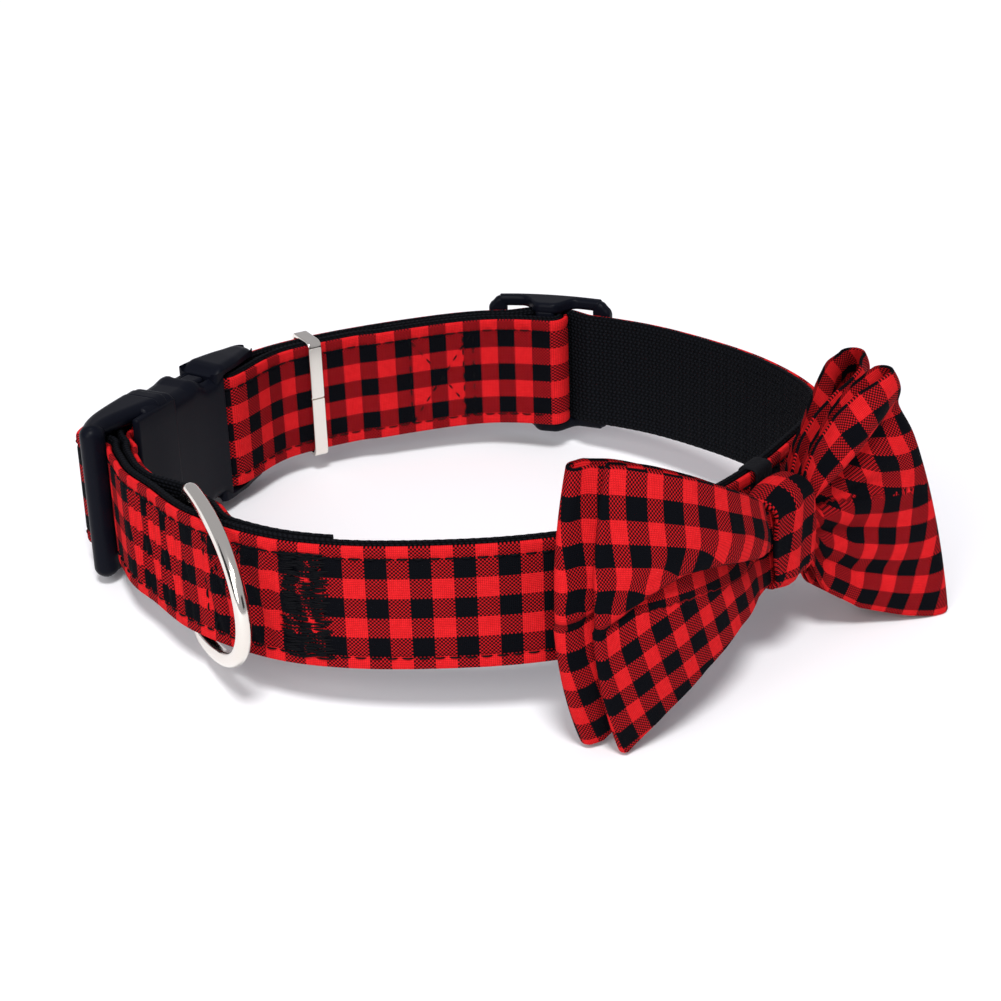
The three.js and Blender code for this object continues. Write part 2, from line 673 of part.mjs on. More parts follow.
// How much a wing's end is pushed up or down by the table it rests on.
function wingLift(run) {
  return (run < 0 ? LEFT_WING_LIFT : RIGHT_WING_LIFT) * ease(wingShare(run), 0, 0.9);
}

// The folds that run out from the knot: one deep valley on the left wing, two on the right.
function foldDepth(run, level) {
  const share = wingShare(run);
  const grown = ease(share, 0.05, 0.5) * (1 - 0.45 * ease(share, 0.65, 1));
  const valley = (centre, width) => Math.exp(-(((level - centre) / width) ** 2));
  if (run < 0) return -BOW_FOLD_DEPTH * grown * (valley(-0.12, 0.24) - 0.25);
  return -BOW_FOLD_DEPTH * 0.7 * grown * (valley(0.42, 0.2) + valley(-0.05, 0.2) - 0.3);
}

// How much further out than its corners a wing's edge bows, and the lower right corner stands.
function wingReach(run, level) {
  const share = wingShare(run);
  const bulge = WING_BULGE * (1 - level ** 2) * share;
  return run < 0 ? -bulge : bulge - RIGHT_WING_SLANT * level * share;
}

function bowLayer(middle, leftRows, rightRows) {
  const curve = wingCurve(middle, leftRows, rightRows);
  const steps = 26;
  const rows = 8;
  const stations = [];
  for (let i = 0; i <= steps; i += 1) {
    const point = curve.getPointAt(i / steps);
    const along = curve.getTangentAt(i / steps);
    stations.push({ point, side: new THREE.Vector3(along.y, -along.x, 0), along });
  }
  const puff = (run) => SHEET_STEP / 2 + 0.9 * ease(wingShare(run), 0.2, 0.8);
  const ends = [stations[0], stations[steps]];
  const ring = [];
  for (const s of stations) ring.push({ s, turn: Math.PI / 2 });
  for (const turn of [60, 30, 0, -30, -60]) ring.push({ s: ends[1], turn: THREE.MathUtils.degToRad(turn) });
  for (const s of [...stations].reverse()) ring.push({ s, turn: -Math.PI / 2 });
  for (const turn of [-120, -150, 180, 150, 120]) ring.push({ s: ends[0], turn: THREE.MathUtils.degToRad(turn) });
  const sections = ring.map(({ s, turn }) => {
    const away = s.along.clone().multiplyScalar(Math.cos(turn)).addScaledVector(s.side, Math.sin(turn));
    const heart = puff(s.point.x);
    const share = wingShare(s.point.x);
    const column = (thick) => Array.from({ length: rows + 1 }, (unused, j) => {
      const level = (j / rows) * 2 - 1;
      const flare = readTable(WING_FLARE, 'run', level > 0 ? 'above' : 'below', share);
      const half = GATHER_HALF + (BOW_HALF_HEIGHT - GATHER_HALF) * flare;
      const p = s.point.clone().addScaledVector(away, heart + thick);
      p.addScaledVector(s.side, foldDepth(s.point.x, level));
      p.x += wingReach(s.point.x, level);
      p.y += WING_TWIST * level * ease(share, 0, 1);
      return p.setZ(half * level + wingLift(s.point.x));
    });
    return [...column(BOW_CLOTH / 2), ...column(-BOW_CLOTH / 2).reverse()];
  });
  return loft(sections, true);
}

function bowKnot() {
  const low = KNOT_STACK - FIT;
  const high = FRONT_MIDDLE + SHEET_STEP / 2 + BOW_CLOTH / 2 + FIT;
  return flatLoop(low, high, KNOT_HALF_HEIGHT - KNOT_CLOTH, KNOT_CLOTH, KNOT_WIDTH, 0.8);
}

function bowElastic() {
  return flatLoop(-LAYER - FIT, FIT, HALF_WIDTH + FIT, ELASTIC_THICK, ELASTIC_WIDTH, 0.2);
}

function keeperLoop() {
  const depth = 2 * LAYER + BACK_LAP_GAP;
  return flatLoop(-depth - FIT, FIT, HALF_WIDTH + FIT, KEEPER_THICK, KEEPER_WIDTH, 0.3);
}

// The assembly.
function piece(name, geometry, material) {
  const mesh = new THREE.Mesh(geometry, material);
  mesh.name = name;
  return mesh;
}

const loop = new THREE.Group();
loop.rotation.set(
  THREE.MathUtils.degToRad(-REST_FRONT), THREE.MathUtils.degToRad(-REST_BOW_SIDE), 0, 'XYZ',
);
loop.add(piece('webbing_strap', webbingStrap(), BLACK_WEB));
loop.add(piece('plaid_cover', plaidCover(), RED_CHECK));
loop.add(piece('buckle_plug', bucklePlug(), BLACK_PLASTIC));
loop.add(piece('buckle_socket', buckleSocket(), BLACK_PLASTIC));
loop.add(piece('strap_slider', slider(), BLACK_PLASTIC));
loop.add(standAt(piece('keeper_loop', keeperLoop(), NICKEL), KEEPER_PLACE * ROUND));

const ring = piece('d_ring', dRing(), NICKEL);
const frame = ringFrame();
ring.setRotationFromMatrix(new THREE.Matrix4().makeBasis(frame.reach, frame.normal, frame.rise));
ring.position.copy(frame.origin);
loop.add(ring);

loop.add(standAt(piece('bow_elastic', bowElastic(), BLACK_WEB), BOW_PLACE * ROUND + ELASTIC_SHIFT));

// The bow's own directions are along the strap, into the loop and up. It leans about the middle one.
const bowAt = lineAt(BOW_PLACE * ROUND);
const bowStand = new THREE.Group();
bowStand.setRotationFromMatrix(
  new THREE.Matrix4().makeBasis(bowAt.along, bowAt.out.clone().negate(), new THREE.Vector3(0, 0, 1)),
);
bowStand.position.copy(bowAt.point).setZ(BOW_LIFT);
loop.add(bowStand);
const bow = new THREE.Group();
bow.rotation.y = THREE.MathUtils.degToRad(-BOW_LEAN);
bowStand.add(bow);
bow.add(piece('bow_rear', bowLayer(REAR_MIDDLE, REAR_LEFT_WING, REAR_RIGHT_WING), RED_CHECK));
bow.add(piece('bow_front', bowLayer(FRONT_MIDDLE, FRONT_LEFT_WING, FRONT_RIGHT_WING), RED_CHECK));
const knot = piece('bow_knot', bowKnot(), RED_CHECK);
knot.setRotationFromMatrix(new THREE.Matrix4().makeBasis(
  new THREE.Vector3(0, -1, 0), new THREE.Vector3(0, 0, 1), new THREE.Vector3(-1, 0, 0),
));
bow.add(knot);

// The origin is under the middle of the whole collar, on the table.
const collar = new THREE.Group();
collar.add(loop);
collar.updateMatrixWorld(true);
const reach = new THREE.Box3().setFromObject(loop, true);
const middle = reach.getCenter(new THREE.Vector3());
loop.position.set(-middle.x, -middle.y, -reach.min.z);

export default collar;
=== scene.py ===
import bpy
import numpy as np
from mathutils import Matrix, Vector


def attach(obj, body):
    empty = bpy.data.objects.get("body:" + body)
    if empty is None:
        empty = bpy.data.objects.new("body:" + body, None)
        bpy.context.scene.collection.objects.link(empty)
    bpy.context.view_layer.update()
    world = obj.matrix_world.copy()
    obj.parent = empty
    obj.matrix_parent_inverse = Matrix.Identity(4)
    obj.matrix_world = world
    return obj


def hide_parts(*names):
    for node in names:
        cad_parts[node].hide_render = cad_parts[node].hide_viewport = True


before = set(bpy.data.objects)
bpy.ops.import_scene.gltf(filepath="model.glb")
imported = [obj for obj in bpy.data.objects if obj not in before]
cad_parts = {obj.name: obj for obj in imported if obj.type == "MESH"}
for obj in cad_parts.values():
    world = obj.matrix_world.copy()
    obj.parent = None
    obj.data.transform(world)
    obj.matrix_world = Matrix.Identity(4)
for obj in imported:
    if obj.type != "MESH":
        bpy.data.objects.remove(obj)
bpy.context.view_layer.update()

# The photographer's camera: a long lens a bit under half a metre away, looking down at the front
# of the loop. It is placed from the collar as if that stood level, so it leans with the collar:
# the bow holds the front and the right-hand side a little off the table.
MM = 0.001
BOW_SIDE_UP = -3.0
FRONT_UP = -3.0
SETTLED_AT = np.array([-12.227, 4.769, 21.879])
LOOK_DOWN = 25.0
CAMERA_ROLL = -2.0
CAMERA_AT = np.array([8.128, -436.341, 196.440])
LENS = 83.445
SENSOR_WIDTH = 36


def turned(axis, degrees):
    """The matrix that turns a column vector about axis 0 (X) or 1 (Y) by the right-hand rule."""
    c, s = np.cos(np.radians(degrees)), np.sin(np.radians(degrees))
    if axis == 0:
        return np.array([[1, 0, 0], [0, c, -s], [0, s, c]])
    return np.array([[c, 0, s], [0, 1, 0], [-s, 0, c]])


LEAN = turned(0, FRONT_UP) @ turned(1, BOW_SIDE_UP)


def settle(points):
    """Points drawn on the level loop, in millimetres, moved to the leaning collar, in metres."""
    return (np.asarray(points) @ LEAN.T + SETTLED_AT) * MM


down, roll = np.radians(LOOK_DOWN), np.radians(CAMERA_ROLL)
level_right = np.array([1.0, 0.0, 0.0])
level_up = np.array([0.0, np.sin(down), np.cos(down)])
forward = np.array([0.0, np.cos(down), -np.sin(down)])
right = np.cos(roll) * level_right + np.sin(roll) * level_up
up = np.cos(roll) * level_up - np.sin(roll) * level_right
camera_data = bpy.data.cameras.new("camera")
camera_data.lens = LENS
camera_data.sensor_width = SENSOR_WIDTH
camera = bpy.data.objects.new("camera", camera_data)
bpy.context.collection.objects.link(camera)
facing = LEAN @ np.stack([right, up, -forward], axis=1)
camera.matrix_world = Matrix.Translation(settle(CAMERA_AT)) @ Matrix(facing.tolist()).to_4x4()
bpy.context.scene.camera = camera

# The table: one near-white sheet in a soft white studio. A broad sun stands above it and in front,
# 28 degrees off the vertical, and a weaker light fills in from the front left.
TABLE = 3.0
STUDIO_STRENGTH = 0.46
SUN_STRENGTH = 2.3
SUN_ANGLE = 14.0
SUN_TILT = 28.0
FRONT_LIGHT_AT = Vector((-0.5, -0.85, 0.55))
FRONT_LIGHT_AIM = Vector((0, 0, 0.02))
FRONT_LIGHT_SIZE = 0.6
FRONT_LIGHT_POWER = 5.5
table_mesh = bpy.data.meshes.new("table")
table_mesh.from_pydata(
    [(-TABLE, -TABLE, 0), (TABLE, -TABLE, 0), (TABLE, TABLE, 0), (-TABLE, TABLE, 0)], [], [(0, 1, 2, 3)]
)
table = bpy.data.objects.new("table", table_mesh)
bpy.context.collection.objects.link(table)
table_finish = bpy.data.materials.new("table_white")
table_finish.use_nodes = True
table_shader = table_finish.node_tree.nodes["Principled BSDF"]
table_shader.inputs["Base Color"].default_value = (0.93, 0.93, 0.95, 1)
table_shader.inputs["Roughness"].default_value = 0.7
table_mesh.materials.append(table_finish)

studio = bpy.data.worlds.new("studio")
studio.use_nodes = True
studio.node_tree.nodes["Background"].inputs["Color"].default_value = (0.95, 0.94, 1.0, 1)
studio.node_tree.nodes["Background"].inputs["Strength"].default_value = STUDIO_STRENGTH
bpy.context.scene.world = studio
bpy.context.scene.view_settings.view_transform = "Standard"

front_data = bpy.data.lights.new("front_left", "AREA")
front_data.size = FRONT_LIGHT_SIZE
front_data.energy = FRONT_LIGHT_POWER
front_data.color = (1.0, 0.99, 0.98)
front_light = bpy.data.objects.new("front_left", front_data)
bpy.context.collection.objects.link(front_light)
to_collar = (FRONT_LIGHT_AIM - FRONT_LIGHT_AT).to_track_quat("-Z", "Y")
front_light.matrix_world = Matrix.Translation(FRONT_LIGHT_AT) @ to_collar.to_matrix().to_4x4()
sun_data = bpy.data.lights.new("overhead", "SUN")
sun_data.energy = SUN_STRENGTH
sun_data.angle = np.radians(SUN_ANGLE)
sun = bpy.data.objects.new("overhead", sun_data)
bpy.context.collection.objects.link(sun)
sun.matrix_world = Matrix.Rotation(np.radians(SUN_TILT), 4, "X")

# Two black cards, standing beside the camera and out of its view, each turned to face the collar:
# the bright metal reflects them.
CARDS = [("card_left", (-0.62, -0.22, 0.20), 0.20), ("card_right", (0.50, -0.62, 0.30), 0.16)]
CARD_BLACK = (0.01, 0.01, 0.012, 1)
black_card = bpy.data.materials.new("card_black")
black_card.use_nodes = True
black_card.node_tree.nodes["Principled BSDF"].inputs["Base Color"].default_value = CARD_BLACK
for name, middle, half in CARDS:
    card_mesh = bpy.data.meshes.new(name)
    toward = np.array([-middle[1], middle[0]]) / np.hypot(middle[0], middle[1]) * half
    card_mesh.from_pydata([
        (middle[0] + a * toward[0], middle[1] + a * toward[1], middle[2] + b * half)
        for a, b in ((-1, -1), (1, -1), (1, 1), (-1, 1))
    ], [], [(0, 1, 2, 3)])
    card = bpy.data.objects.new(name, card_mesh)
    bpy.context.collection.objects.link(card)
    card_mesh.materials.append(black_card)

# The webbing: one length of 25 mm black webbing, woven in fat ribs. It is cut at the front lap,
# runs back through the buckle's plug and round its loop bar, then under the end bar, round the
# front, right and back of the loop, round the socket's bar, and back to the slider.
STRAP_WIDTH = 25.0
WEB_THICK = 1.3
COVER_THICK = 1.0
FIT = 0.3
LAYER = COVER_THICK + FIT + WEB_THICK
HALF_WIDTH = STRAP_WIDTH / 2
LOOP_HALF = (75.0, 61.0)
LINE_POINTS = np.array([
    (-0.981, -0.141), (-0.915, -0.316), (-0.817, -0.477), (-0.695, -0.693), (-0.480, -0.897),
    (-0.281, -0.977), (0.008, -1.000), (0.201, -0.979), (0.412, -0.910), (0.592, -0.759),
    (0.747, -0.556), (0.873, -0.325), (0.960, -0.130), (0.997, 0.049), (0.975, 0.190),
    (0.871, 0.430), (0.709, 0.652), (0.539, 0.820), (0.293, 0.961), (0.080, 1.000),
    (-0.181, 0.928), (-0.475, 0.777), (-0.629, 0.639), (-0.776, 0.416), (-0.888, 0.156),
]) * LOOP_HALF
END_BAR_RADIUS = 2.4
END_BAR_OUT = -0.4
LOOP_BAR_AT = -11.0
LOOP_BAR_RADIUS = 1.6
LOOP_BAR_OUT = 0.2
LOOP_SLACK = 1.0
COLLAR_THICK = 2.7
SOCKET_LENGTH = 35.0
SOCKET_BAR_INSET = 10.6
SOCKET_BAR_RADIUS = 1.6
FRONT_LAP = 74.0
FRONT_LAP_GAP = 0.5
BACK_LAP_GAP = 1.0
RING_AT = 36.0
RING_WIDE = 3.2
SLIDER_PLACE = 0.69
SLIDER_REACH = 10.5
SLIDER_BAR_LENGTH = 5.2
SLIDER_BAR_THICK = 2.2
STRAP_LIFT = 2.4
TAIL_LENGTH = 40.0
END_DIP = 22.0
RING_ROOM = (4.0, 15.0)
BAR_ROOM = 0.3
BAR_ROOM_END = (2.0, 12.0)
ONTO_TAIL = (4.0, 14.0)
OFF_TAIL = (1.0, 8.0)
TO_SOCKET = 20.0


def ease(value, start, stop):
    """A smooth step from 0 at start to 1 at stop: 3tt - 2ttt, t being the share of the way."""
    t = np.clip((value - start) / (stop - start), 0, 1)
    return t * t * (3 - 2 * t)


def smooth_line(points, closed=False, samples=60):
    """A line through all the points: on each span a cubic whose end slopes are those of the
    parabola through three neighbours, with knots spaced by the root of the distance."""
    if closed:
        ring = np.concatenate([points[-1:], points, points[:2]])
    else:
        ring = np.concatenate([2 * points[:1] - points[1:2], points, 2 * points[-1:] - points[-2:-1]])
    a, b, c, d = ring[:-3], ring[1:-2], ring[2:-1], ring[3:]
    before, span, after = [
        np.sqrt(np.linalg.norm(q - p, axis=1))[:, None] for p, q in ((a, b), (b, c), (c, d))
    ]
    leave = ((b - a) / before - (c - a) / (before + span) + (c - b) / span) * span
    arrive = ((c - b) / span - (d - b) / (span + after) + (d - c) / after) * span
    t = (np.arange(samples) / samples)[None, :, None]
    b, c, leave, arrive = b[:, None], c[:, None], leave[:, None], arrive[:, None]
    cubic = (2 * b - 2 * c + leave + arrive) * t**3 + (3 * c - 3 * b - 2 * leave - arrive) * t**2
    cubic = cubic + leave * t + b
    return np.concatenate([cubic.reshape(-1, points.shape[1]), points[:1] if closed else points[-1:]])


def lengths_along(line):
    """How far each point of a line is from its start, measured along it."""
    return np.concatenate([[0], np.cumsum(np.linalg.norm(np.diff(line, axis=0), axis=1))])


def read_line(line, walked, distance):
    """The points of a line at the given distances along it."""
    return np.stack([np.interp(distance, walked, line[:, k]) for k in range(line.shape[1])], axis=-1)


loop_line = smooth_line(LINE_POINTS, closed=True)
loop_walked = lengths_along(loop_line)
ROUND = loop_walked[-1]
SLIDER_AT = SLIDER_PLACE * ROUND


def plan(distance, outward):
    """Plan points of the loop: so far round it from the end bar, and so far outside its line."""
    at, before, after = [read_line(loop_line, loop_walked, np.mod(distance + k, ROUND)) for k in (0, -2, 2)]
    along = (after - before) / np.linalg.norm(after - before, axis=-1, keepdims=True)
    return at + np.stack([along[..., 1], -along[..., 0]], axis=-1) * np.asarray(outward)[..., None]


def outer_face(distance):
    """How far the main strap's outer face stands off the line: it dips under the end bar and
    rises over the slider's middle bar."""
    rise = STRAP_LIFT * (1 - ease(np.abs(distance - SLIDER_AT), SLIDER_BAR_LENGTH / 2, SLIDER_REACH))
    return rise - (END_BAR_RADIUS - END_BAR_OUT + FIT) * (1 - ease(distance, 0, END_DIP))


def front_lap_face(distance):
    """The inner layer of the front lap, which parts from the outer one round the D ring's bar."""
    ring_room = (RING_WIDE + 2 * FIT - FRONT_LAP_GAP) * (1 - ease(np.abs(distance - RING_AT), *RING_ROOM))
    bar_room = BAR_ROOM * (1 - ease(distance, *BAR_ROOM_END))
    return outer_face(distance) - LAYER - FRONT_LAP_GAP - ring_room - bar_room - WEB_THICK


END_TURN = END_BAR_RADIUS + FIT + COVER_THICK + FIT
LOOP_TURN = LOOP_BAR_RADIUS + FIT + WEB_THICK + LOOP_SLACK
LOOP_CENTRE = (LOOP_BAR_AT, LOOP_BAR_OUT + LOOP_SLACK * 0.8)
SOCKET_AT = LOOP_BAR_AT - (LOOP_BAR_RADIUS + LOOP_SLACK + LAYER + 2 * FIT + COLLAR_THICK + FIT)
SOCKET_END = SOCKET_AT - SOCKET_LENGTH
SOCKET_BAR_AT = SOCKET_END + SOCKET_BAR_INSET
SOCKET_BAR_OUT = -LAYER - FIT - SOCKET_BAR_RADIUS
SOCKET_TURN = SOCKET_BAR_RADIUS + FIT + WEB_THICK
SLIDER_BAR_OUT = STRAP_LIFT - LAYER - FIT - WEB_THICK - FIT - SLIDER_BAR_THICK / 2
SLIDER_TURN = SLIDER_BAR_THICK / 2 + FIT + WEB_THICK
BACK_TURN_AT = ROUND + SOCKET_BAR_AT


def back_lap_face(distance):
    """The inner layer at the back: over the webbing's tail, then loose, then round the bar."""
    over_tail = -LAYER - FIT - WEB_THICK - FIT - WEB_THICK
    loose = -LAYER - BACK_LAP_GAP - WEB_THICK
    at_slider = SLIDER_BAR_OUT - SLIDER_TURN
    at_socket = SOCKET_BAR_OUT - SOCKET_TURN
    face = at_slider + (over_tail - at_slider) * ease(distance - SLIDER_AT, *ONTO_TAIL)
    face += (loose - over_tail) * ease(distance - SLIDER_AT - TAIL_LENGTH, *OFF_TAIL)
    return face + (at_socket - loose) * ease(distance, BACK_TURN_AT - TO_SOCKET, BACK_TURN_AT)


def run(start, stop, face, step=0.8):
    """Places from start to stop, (distance, outward), outward being a function of distance."""
    distance = np.linspace(start, stop, int(abs(stop - start) / step) + 2)
    return np.stack([distance, face(distance)], axis=1)


def bend(centre, radius, start, stop, count):
    """Places on an arc of degrees start to stop round a centre (distance, outward)."""
    angle = np.radians(np.linspace(start, stop, count))
    return np.array(centre) + radius * np.stack([np.cos(angle), np.sin(angle)], axis=1)


def sag(start, pull, stop, count):
    """Places on a slack bend from start to stop, drawn toward pull: (1-t)^2 a + 2t(1-t) b + t^2 c."""
    t = np.linspace(0, 1, count)[:, None]
    return (1 - t) ** 2 * np.array(start) + 2 * t * (1 - t) * np.array(pull) + t**2 * np.array(stop)


LOOP_SAG = (-3.9, 6.0)
loop_low = LOOP_CENTRE[1] - LOOP_TURN
covered = np.concatenate([
    run(FRONT_LAP, 0.6, front_lap_face),
    run(0, LOOP_BAR_AT, lambda d: loop_low + (front_lap_face(0.0) - loop_low) * ease(d, LOOP_BAR_AT, -1)),
    bend(LOOP_CENTRE, LOOP_TURN, 270, 90, 30)[1:],
    sag((LOOP_CENTRE[0], LOOP_CENTRE[1] + LOOP_TURN), LOOP_SAG, (-END_TURN, END_BAR_OUT), 16)[1:],
    bend((0, END_BAR_OUT), END_TURN, 180, 270, 12)[1:],
    run(0, BACK_TURN_AT, lambda d: outer_face(d) - COVER_THICK - FIT)[1:],
    bend((BACK_TURN_AT, SOCKET_BAR_OUT), SOCKET_TURN, 90, -90, 20)[1:],
    run(BACK_TURN_AT, SLIDER_AT - 1, back_lap_face)[1:],
    bend((SLIDER_AT - 1, SLIDER_BAR_OUT), SLIDER_TURN, 270, 150, 14)[1:],
])
bare = np.concatenate([
    bend((SLIDER_AT - 1, SLIDER_BAR_OUT), SLIDER_TURN, 150, 90, 7)[1:],
    run(SLIDER_AT - 1, SLIDER_AT + TAIL_LENGTH, lambda d: outer_face(d) - LAYER - FIT)[1:],
])
strap_path = np.concatenate([covered, bare])


def path_frame(path):
    """Plan points of a path of (distance, outward), the side its covered face looks to, and the
    length walked at each point."""
    points = plan(path[:, 0], path[:, 1])
    walked = lengths_along(points)
    along = np.gradient(points, axis=0)
    along /= np.linalg.norm(along, axis=1, keepdims=True)
    return points, np.stack([along[:, 1], -along[:, 0]], axis=1), walked


def shell(grid, ring):
    """The points and faces of one closed shell from rows by columns of points. Each row is a closed
    section joined to the next; the last joins the first if ring, else both ends are capped. The
    faces are turned outward by the sign of the shell's volume."""
    rows, columns = grid.shape[:2]
    index = np.arange(rows * columns).reshape(rows, columns)
    here = index if ring else index[:-1]
    there = np.roll(index, -1, axis=0) if ring else index[1:]
    quads = np.stack([here, np.roll(here, -1, axis=1), np.roll(there, -1, axis=1), there], axis=-1)
    quads = quads.reshape(-1, 4)
    points = grid.reshape(-1, 3) - grid.reshape(-1, 3).mean(axis=0)
    a, b, c, d = [points[quads[:, k]] for k in range(4)]
    volume = (np.einsum("ij,ij->i", a, np.cross(b, c)) + np.einsum("ij,ij->i", a, np.cross(c, d))).sum()
    faces = quads.tolist() + ([] if ring else [index[0][::-1].tolist(), index[-1].tolist()])
    if volume < 0:
        faces = [face[::-1] for face in faces]
    return grid.reshape(-1, 3), faces


def skin(name, grids, uv=None, ring=False, crease=60):
    """One smooth piece made of one or more closed shells, with edges sharper than crease degrees
    kept sharp, and a cloth map in millimetres if uv is given. A ring's map has one row more than
    its points: the first row again, as the last faces meet it."""
    grids = [grids] if isinstance(grids, np.ndarray) else grids
    points, faces, count = [], [], 0
    for grid in grids:
        these, shell_faces = shell(grid, ring)
        faces += [[k + count for k in face] for face in shell_faces]
        points.append(these)
        count += len(these)
    mesh = bpy.data.meshes.new(name)
    mesh.from_pydata(np.concatenate(points).tolist(), [], faces)
    if uv is not None:
        corner = np.empty(len(mesh.loops), dtype=np.int32)
        mesh.loops.foreach_get("vertex_index", corner)
        columns = grids[0].shape[1]
        closing = (np.arange(len(corner)) >= len(corner) - 4 * columns) & (corner < columns) & ring
        corner = np.where(closing, corner + len(uv.reshape(-1, 2)) - columns, corner)
        layer = mesh.uv_layers.new(name="cloth")
        layer.data.foreach_set("uv", uv.reshape(-1, 2)[corner].astype(np.float32).ravel())
    mesh.polygons.foreach_set("use_smooth", np.full(len(mesh.polygons), True))
    mesh.set_sharp_from_angle(angle=np.radians(crease))
    piece = bpy.data.objects.new(name, mesh)
    bpy.context.collection.objects.link(piece)
    return piece


def strip(name, path, depth, profile, width_share=np.ones_like):
    """A flat strip along a path: profile is its closed section, (off, height) pairs, and depth
    adds to off, as a function of the length walked and the height. width_share, a function of
    the length walked, narrows it."""
    points, side, walked = path_frame(path)
    off = profile[None, :, 0] + depth(walked[:, None], profile[None, :, 1], profile[None, :, 0])
    grid = np.empty((len(path), len(profile), 3))
    grid[..., :2] = points[:, None] + side[:, None] * off[..., None]
    grid[..., 2] = profile[None, :, 1] * width_share(walked)[:, None]
    uv = np.stack(np.broadcast_arrays(walked[:, None], profile[None, :, 1]), axis=-1)
    return skin(name, settle(grid.reshape(-1, 3)).reshape(grid.shape), uv)


def flat_profile(low, high, half, round_off, across):
    """A closed section with rounded edges, as (off, height) pairs: up the high face and over the top
    edge, then the same turned half round, down the low face and under the bottom edge."""
    middle, reach = (low + high) / 2, (high - low) / 2
    angle = np.linspace(-np.pi / 2, np.pi / 2, 7)[1:-1]
    straight = np.linspace(-(half - round_off), half - round_off, across)
    up_face = np.stack([np.full(across, high), straight], axis=1)
    top = np.stack([middle - reach * np.sin(angle), half - round_off + round_off * np.cos(angle)], axis=1)
    first_half = np.concatenate([up_face, top])
    return np.concatenate([first_half, (2 * middle, 0) - first_half])


class Wire:
    """A shader value that takes part in sums: each operator adds its Math node to the tree."""

    def __init__(self, finish, socket):
        self.finish = finish
        self.socket = socket

    def join(self, operation, *values):
        """The Math node of that operation, fed with this value and any others in order."""
        return self.finish.math(operation, self, *values)

    def __add__(self, other):
        return self.finish.math("ADD", self, other)

    def __sub__(self, other):
        return self.finish.math("SUBTRACT", self, other)

    def __rsub__(self, other):
        return self.finish.math("SUBTRACT", other, self)

    def __mul__(self, other):
        return self.finish.math("MULTIPLY", self, other)

    __radd__ = __add__
    __rmul__ = __mul__


class Finish:
    """A material: constants go on its shader's own sockets, and node adds any other node."""

    def __init__(self, name, constants):
        self.material = bpy.data.materials.new(name)
        self.material.use_nodes = True
        self.tree = self.material.node_tree
        self.shader = self.tree.nodes["Principled BSDF"]
        for key, value in constants.items():
            self.shader.inputs[key].default_value = value

    def node(self, kind, settings=None, values=None, output=0):
        """One node of a type, with its settings, then its sockets' values or links."""
        made = self.tree.nodes.new(kind)
        for key, value in (settings or {}).items():
            if key == "stops":
                for place, (at, colour) in enumerate(value):
                    stop = made.color_ramp.elements[place] if place < 2 else made.color_ramp.elements.new(at)
                    stop.position, stop.color = at, colour
            else:
                setattr(made, key, value)
        for key, value in (values or {}).items():
            if isinstance(value, Wire):
                self.tree.links.new(value.socket, made.inputs[key])
            else:
                made.inputs[key].default_value = value
        return Wire(self, made.outputs[output])

    def math(self, operation, *values):
        """A Math node on up to three values or numbers."""
        return self.node("ShaderNodeMath", {"operation": operation}, dict(enumerate(values)))

    def mix(self, mask, first, second):
        """The first colour where mask is 0 and the second where it is 1."""
        return self.node("ShaderNodeMix", {"data_type": "RGBA"}, {0: mask, 6: first, 7: second}, output=2)

    def cloth(self):
        """The piece's own cloth map, as lengths along and across in millimetres."""
        cloth_map = self.node("ShaderNodeUVMap", {"uv_map": "cloth"})
        split = self.node("ShaderNodeSeparateXYZ", None, {0: cloth_map})
        return split, Wire(self, split.socket.node.outputs[1])

    def speckle(self, scale, detail):
        """A fine noise from 0 to 1 over the piece's Object coordinates."""
        place = self.node("ShaderNodeTexCoord", None, None, output=3)
        return self.node("ShaderNodeTexNoise", None, {"Vector": place, "Scale": scale, "Detail": detail})

    def feed(self, socket, value):
        """Links a value to one of the shader's sockets."""
        self.tree.links.new(value.socket, self.shader.inputs[socket])

    def bump(self, height, distance, strength=1.0):
        """Relief from a height in 0 to 1, distance metres deep."""
        self.feed("Normal", self.node(
            "ShaderNodeBump", None, {"Strength": strength, "Distance": distance, "Height": height}
        ))


RIB = 1.05
RIB_ROW = 0.8
RIB_WAVE = 0.10
RIB_DEEP = 0.45
WEB_EDGE = 0.6
WEB_ROUND = 0.55
WEB_COLUMNS = 49
WEB_PAINTED_SHADE = (0.0010, 0.0012, 0.0018, 1)
WEB_PAINTED_HIGHLIGHT = (0.0050, 0.0058, 0.0085, 1)
webbing_finish = Finish("black_webbing", {"Roughness": 0.7, "Specular IOR Level": 0.06})
along, across = webbing_finish.cloth()
rib = (along * (np.pi / RIB) + (across * (np.pi / RIB_ROW)).join("SINE") * 0.6).join("SINE").join("ABSOLUTE")
pick = (across * (np.pi / RIB_ROW)).join("SINE").join("ABSOLUTE")
knuckle = (rib * pick).join("POWER", 0.6)
# The colour follows the weave's height: painted shade in the hollows between the ribs, a painted highlight
# on their knuckles.
webbing_finish.feed("Base Color", webbing_finish.mix(knuckle, WEB_PAINTED_SHADE, WEB_PAINTED_HIGHLIGHT))
webbing_finish.bump(knuckle, RIB_DEEP * MM)

webbing = strip(
    "webbing", strap_path,
    lambda walked, height, off: RIB_WAVE * np.sin(np.pi * walked / RIB) * np.sin(np.pi * height / RIB_ROW),
    flat_profile(-WEB_THICK, 0, HALF_WIDTH + WEB_EDGE, WEB_ROUND, WEB_COLUMNS),
)
webbing.data.materials.append(webbing_finish.material)
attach(webbing, "collar")
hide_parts("webbing_strap")
strap_length = float(path_frame(strap_path)[2][-1])

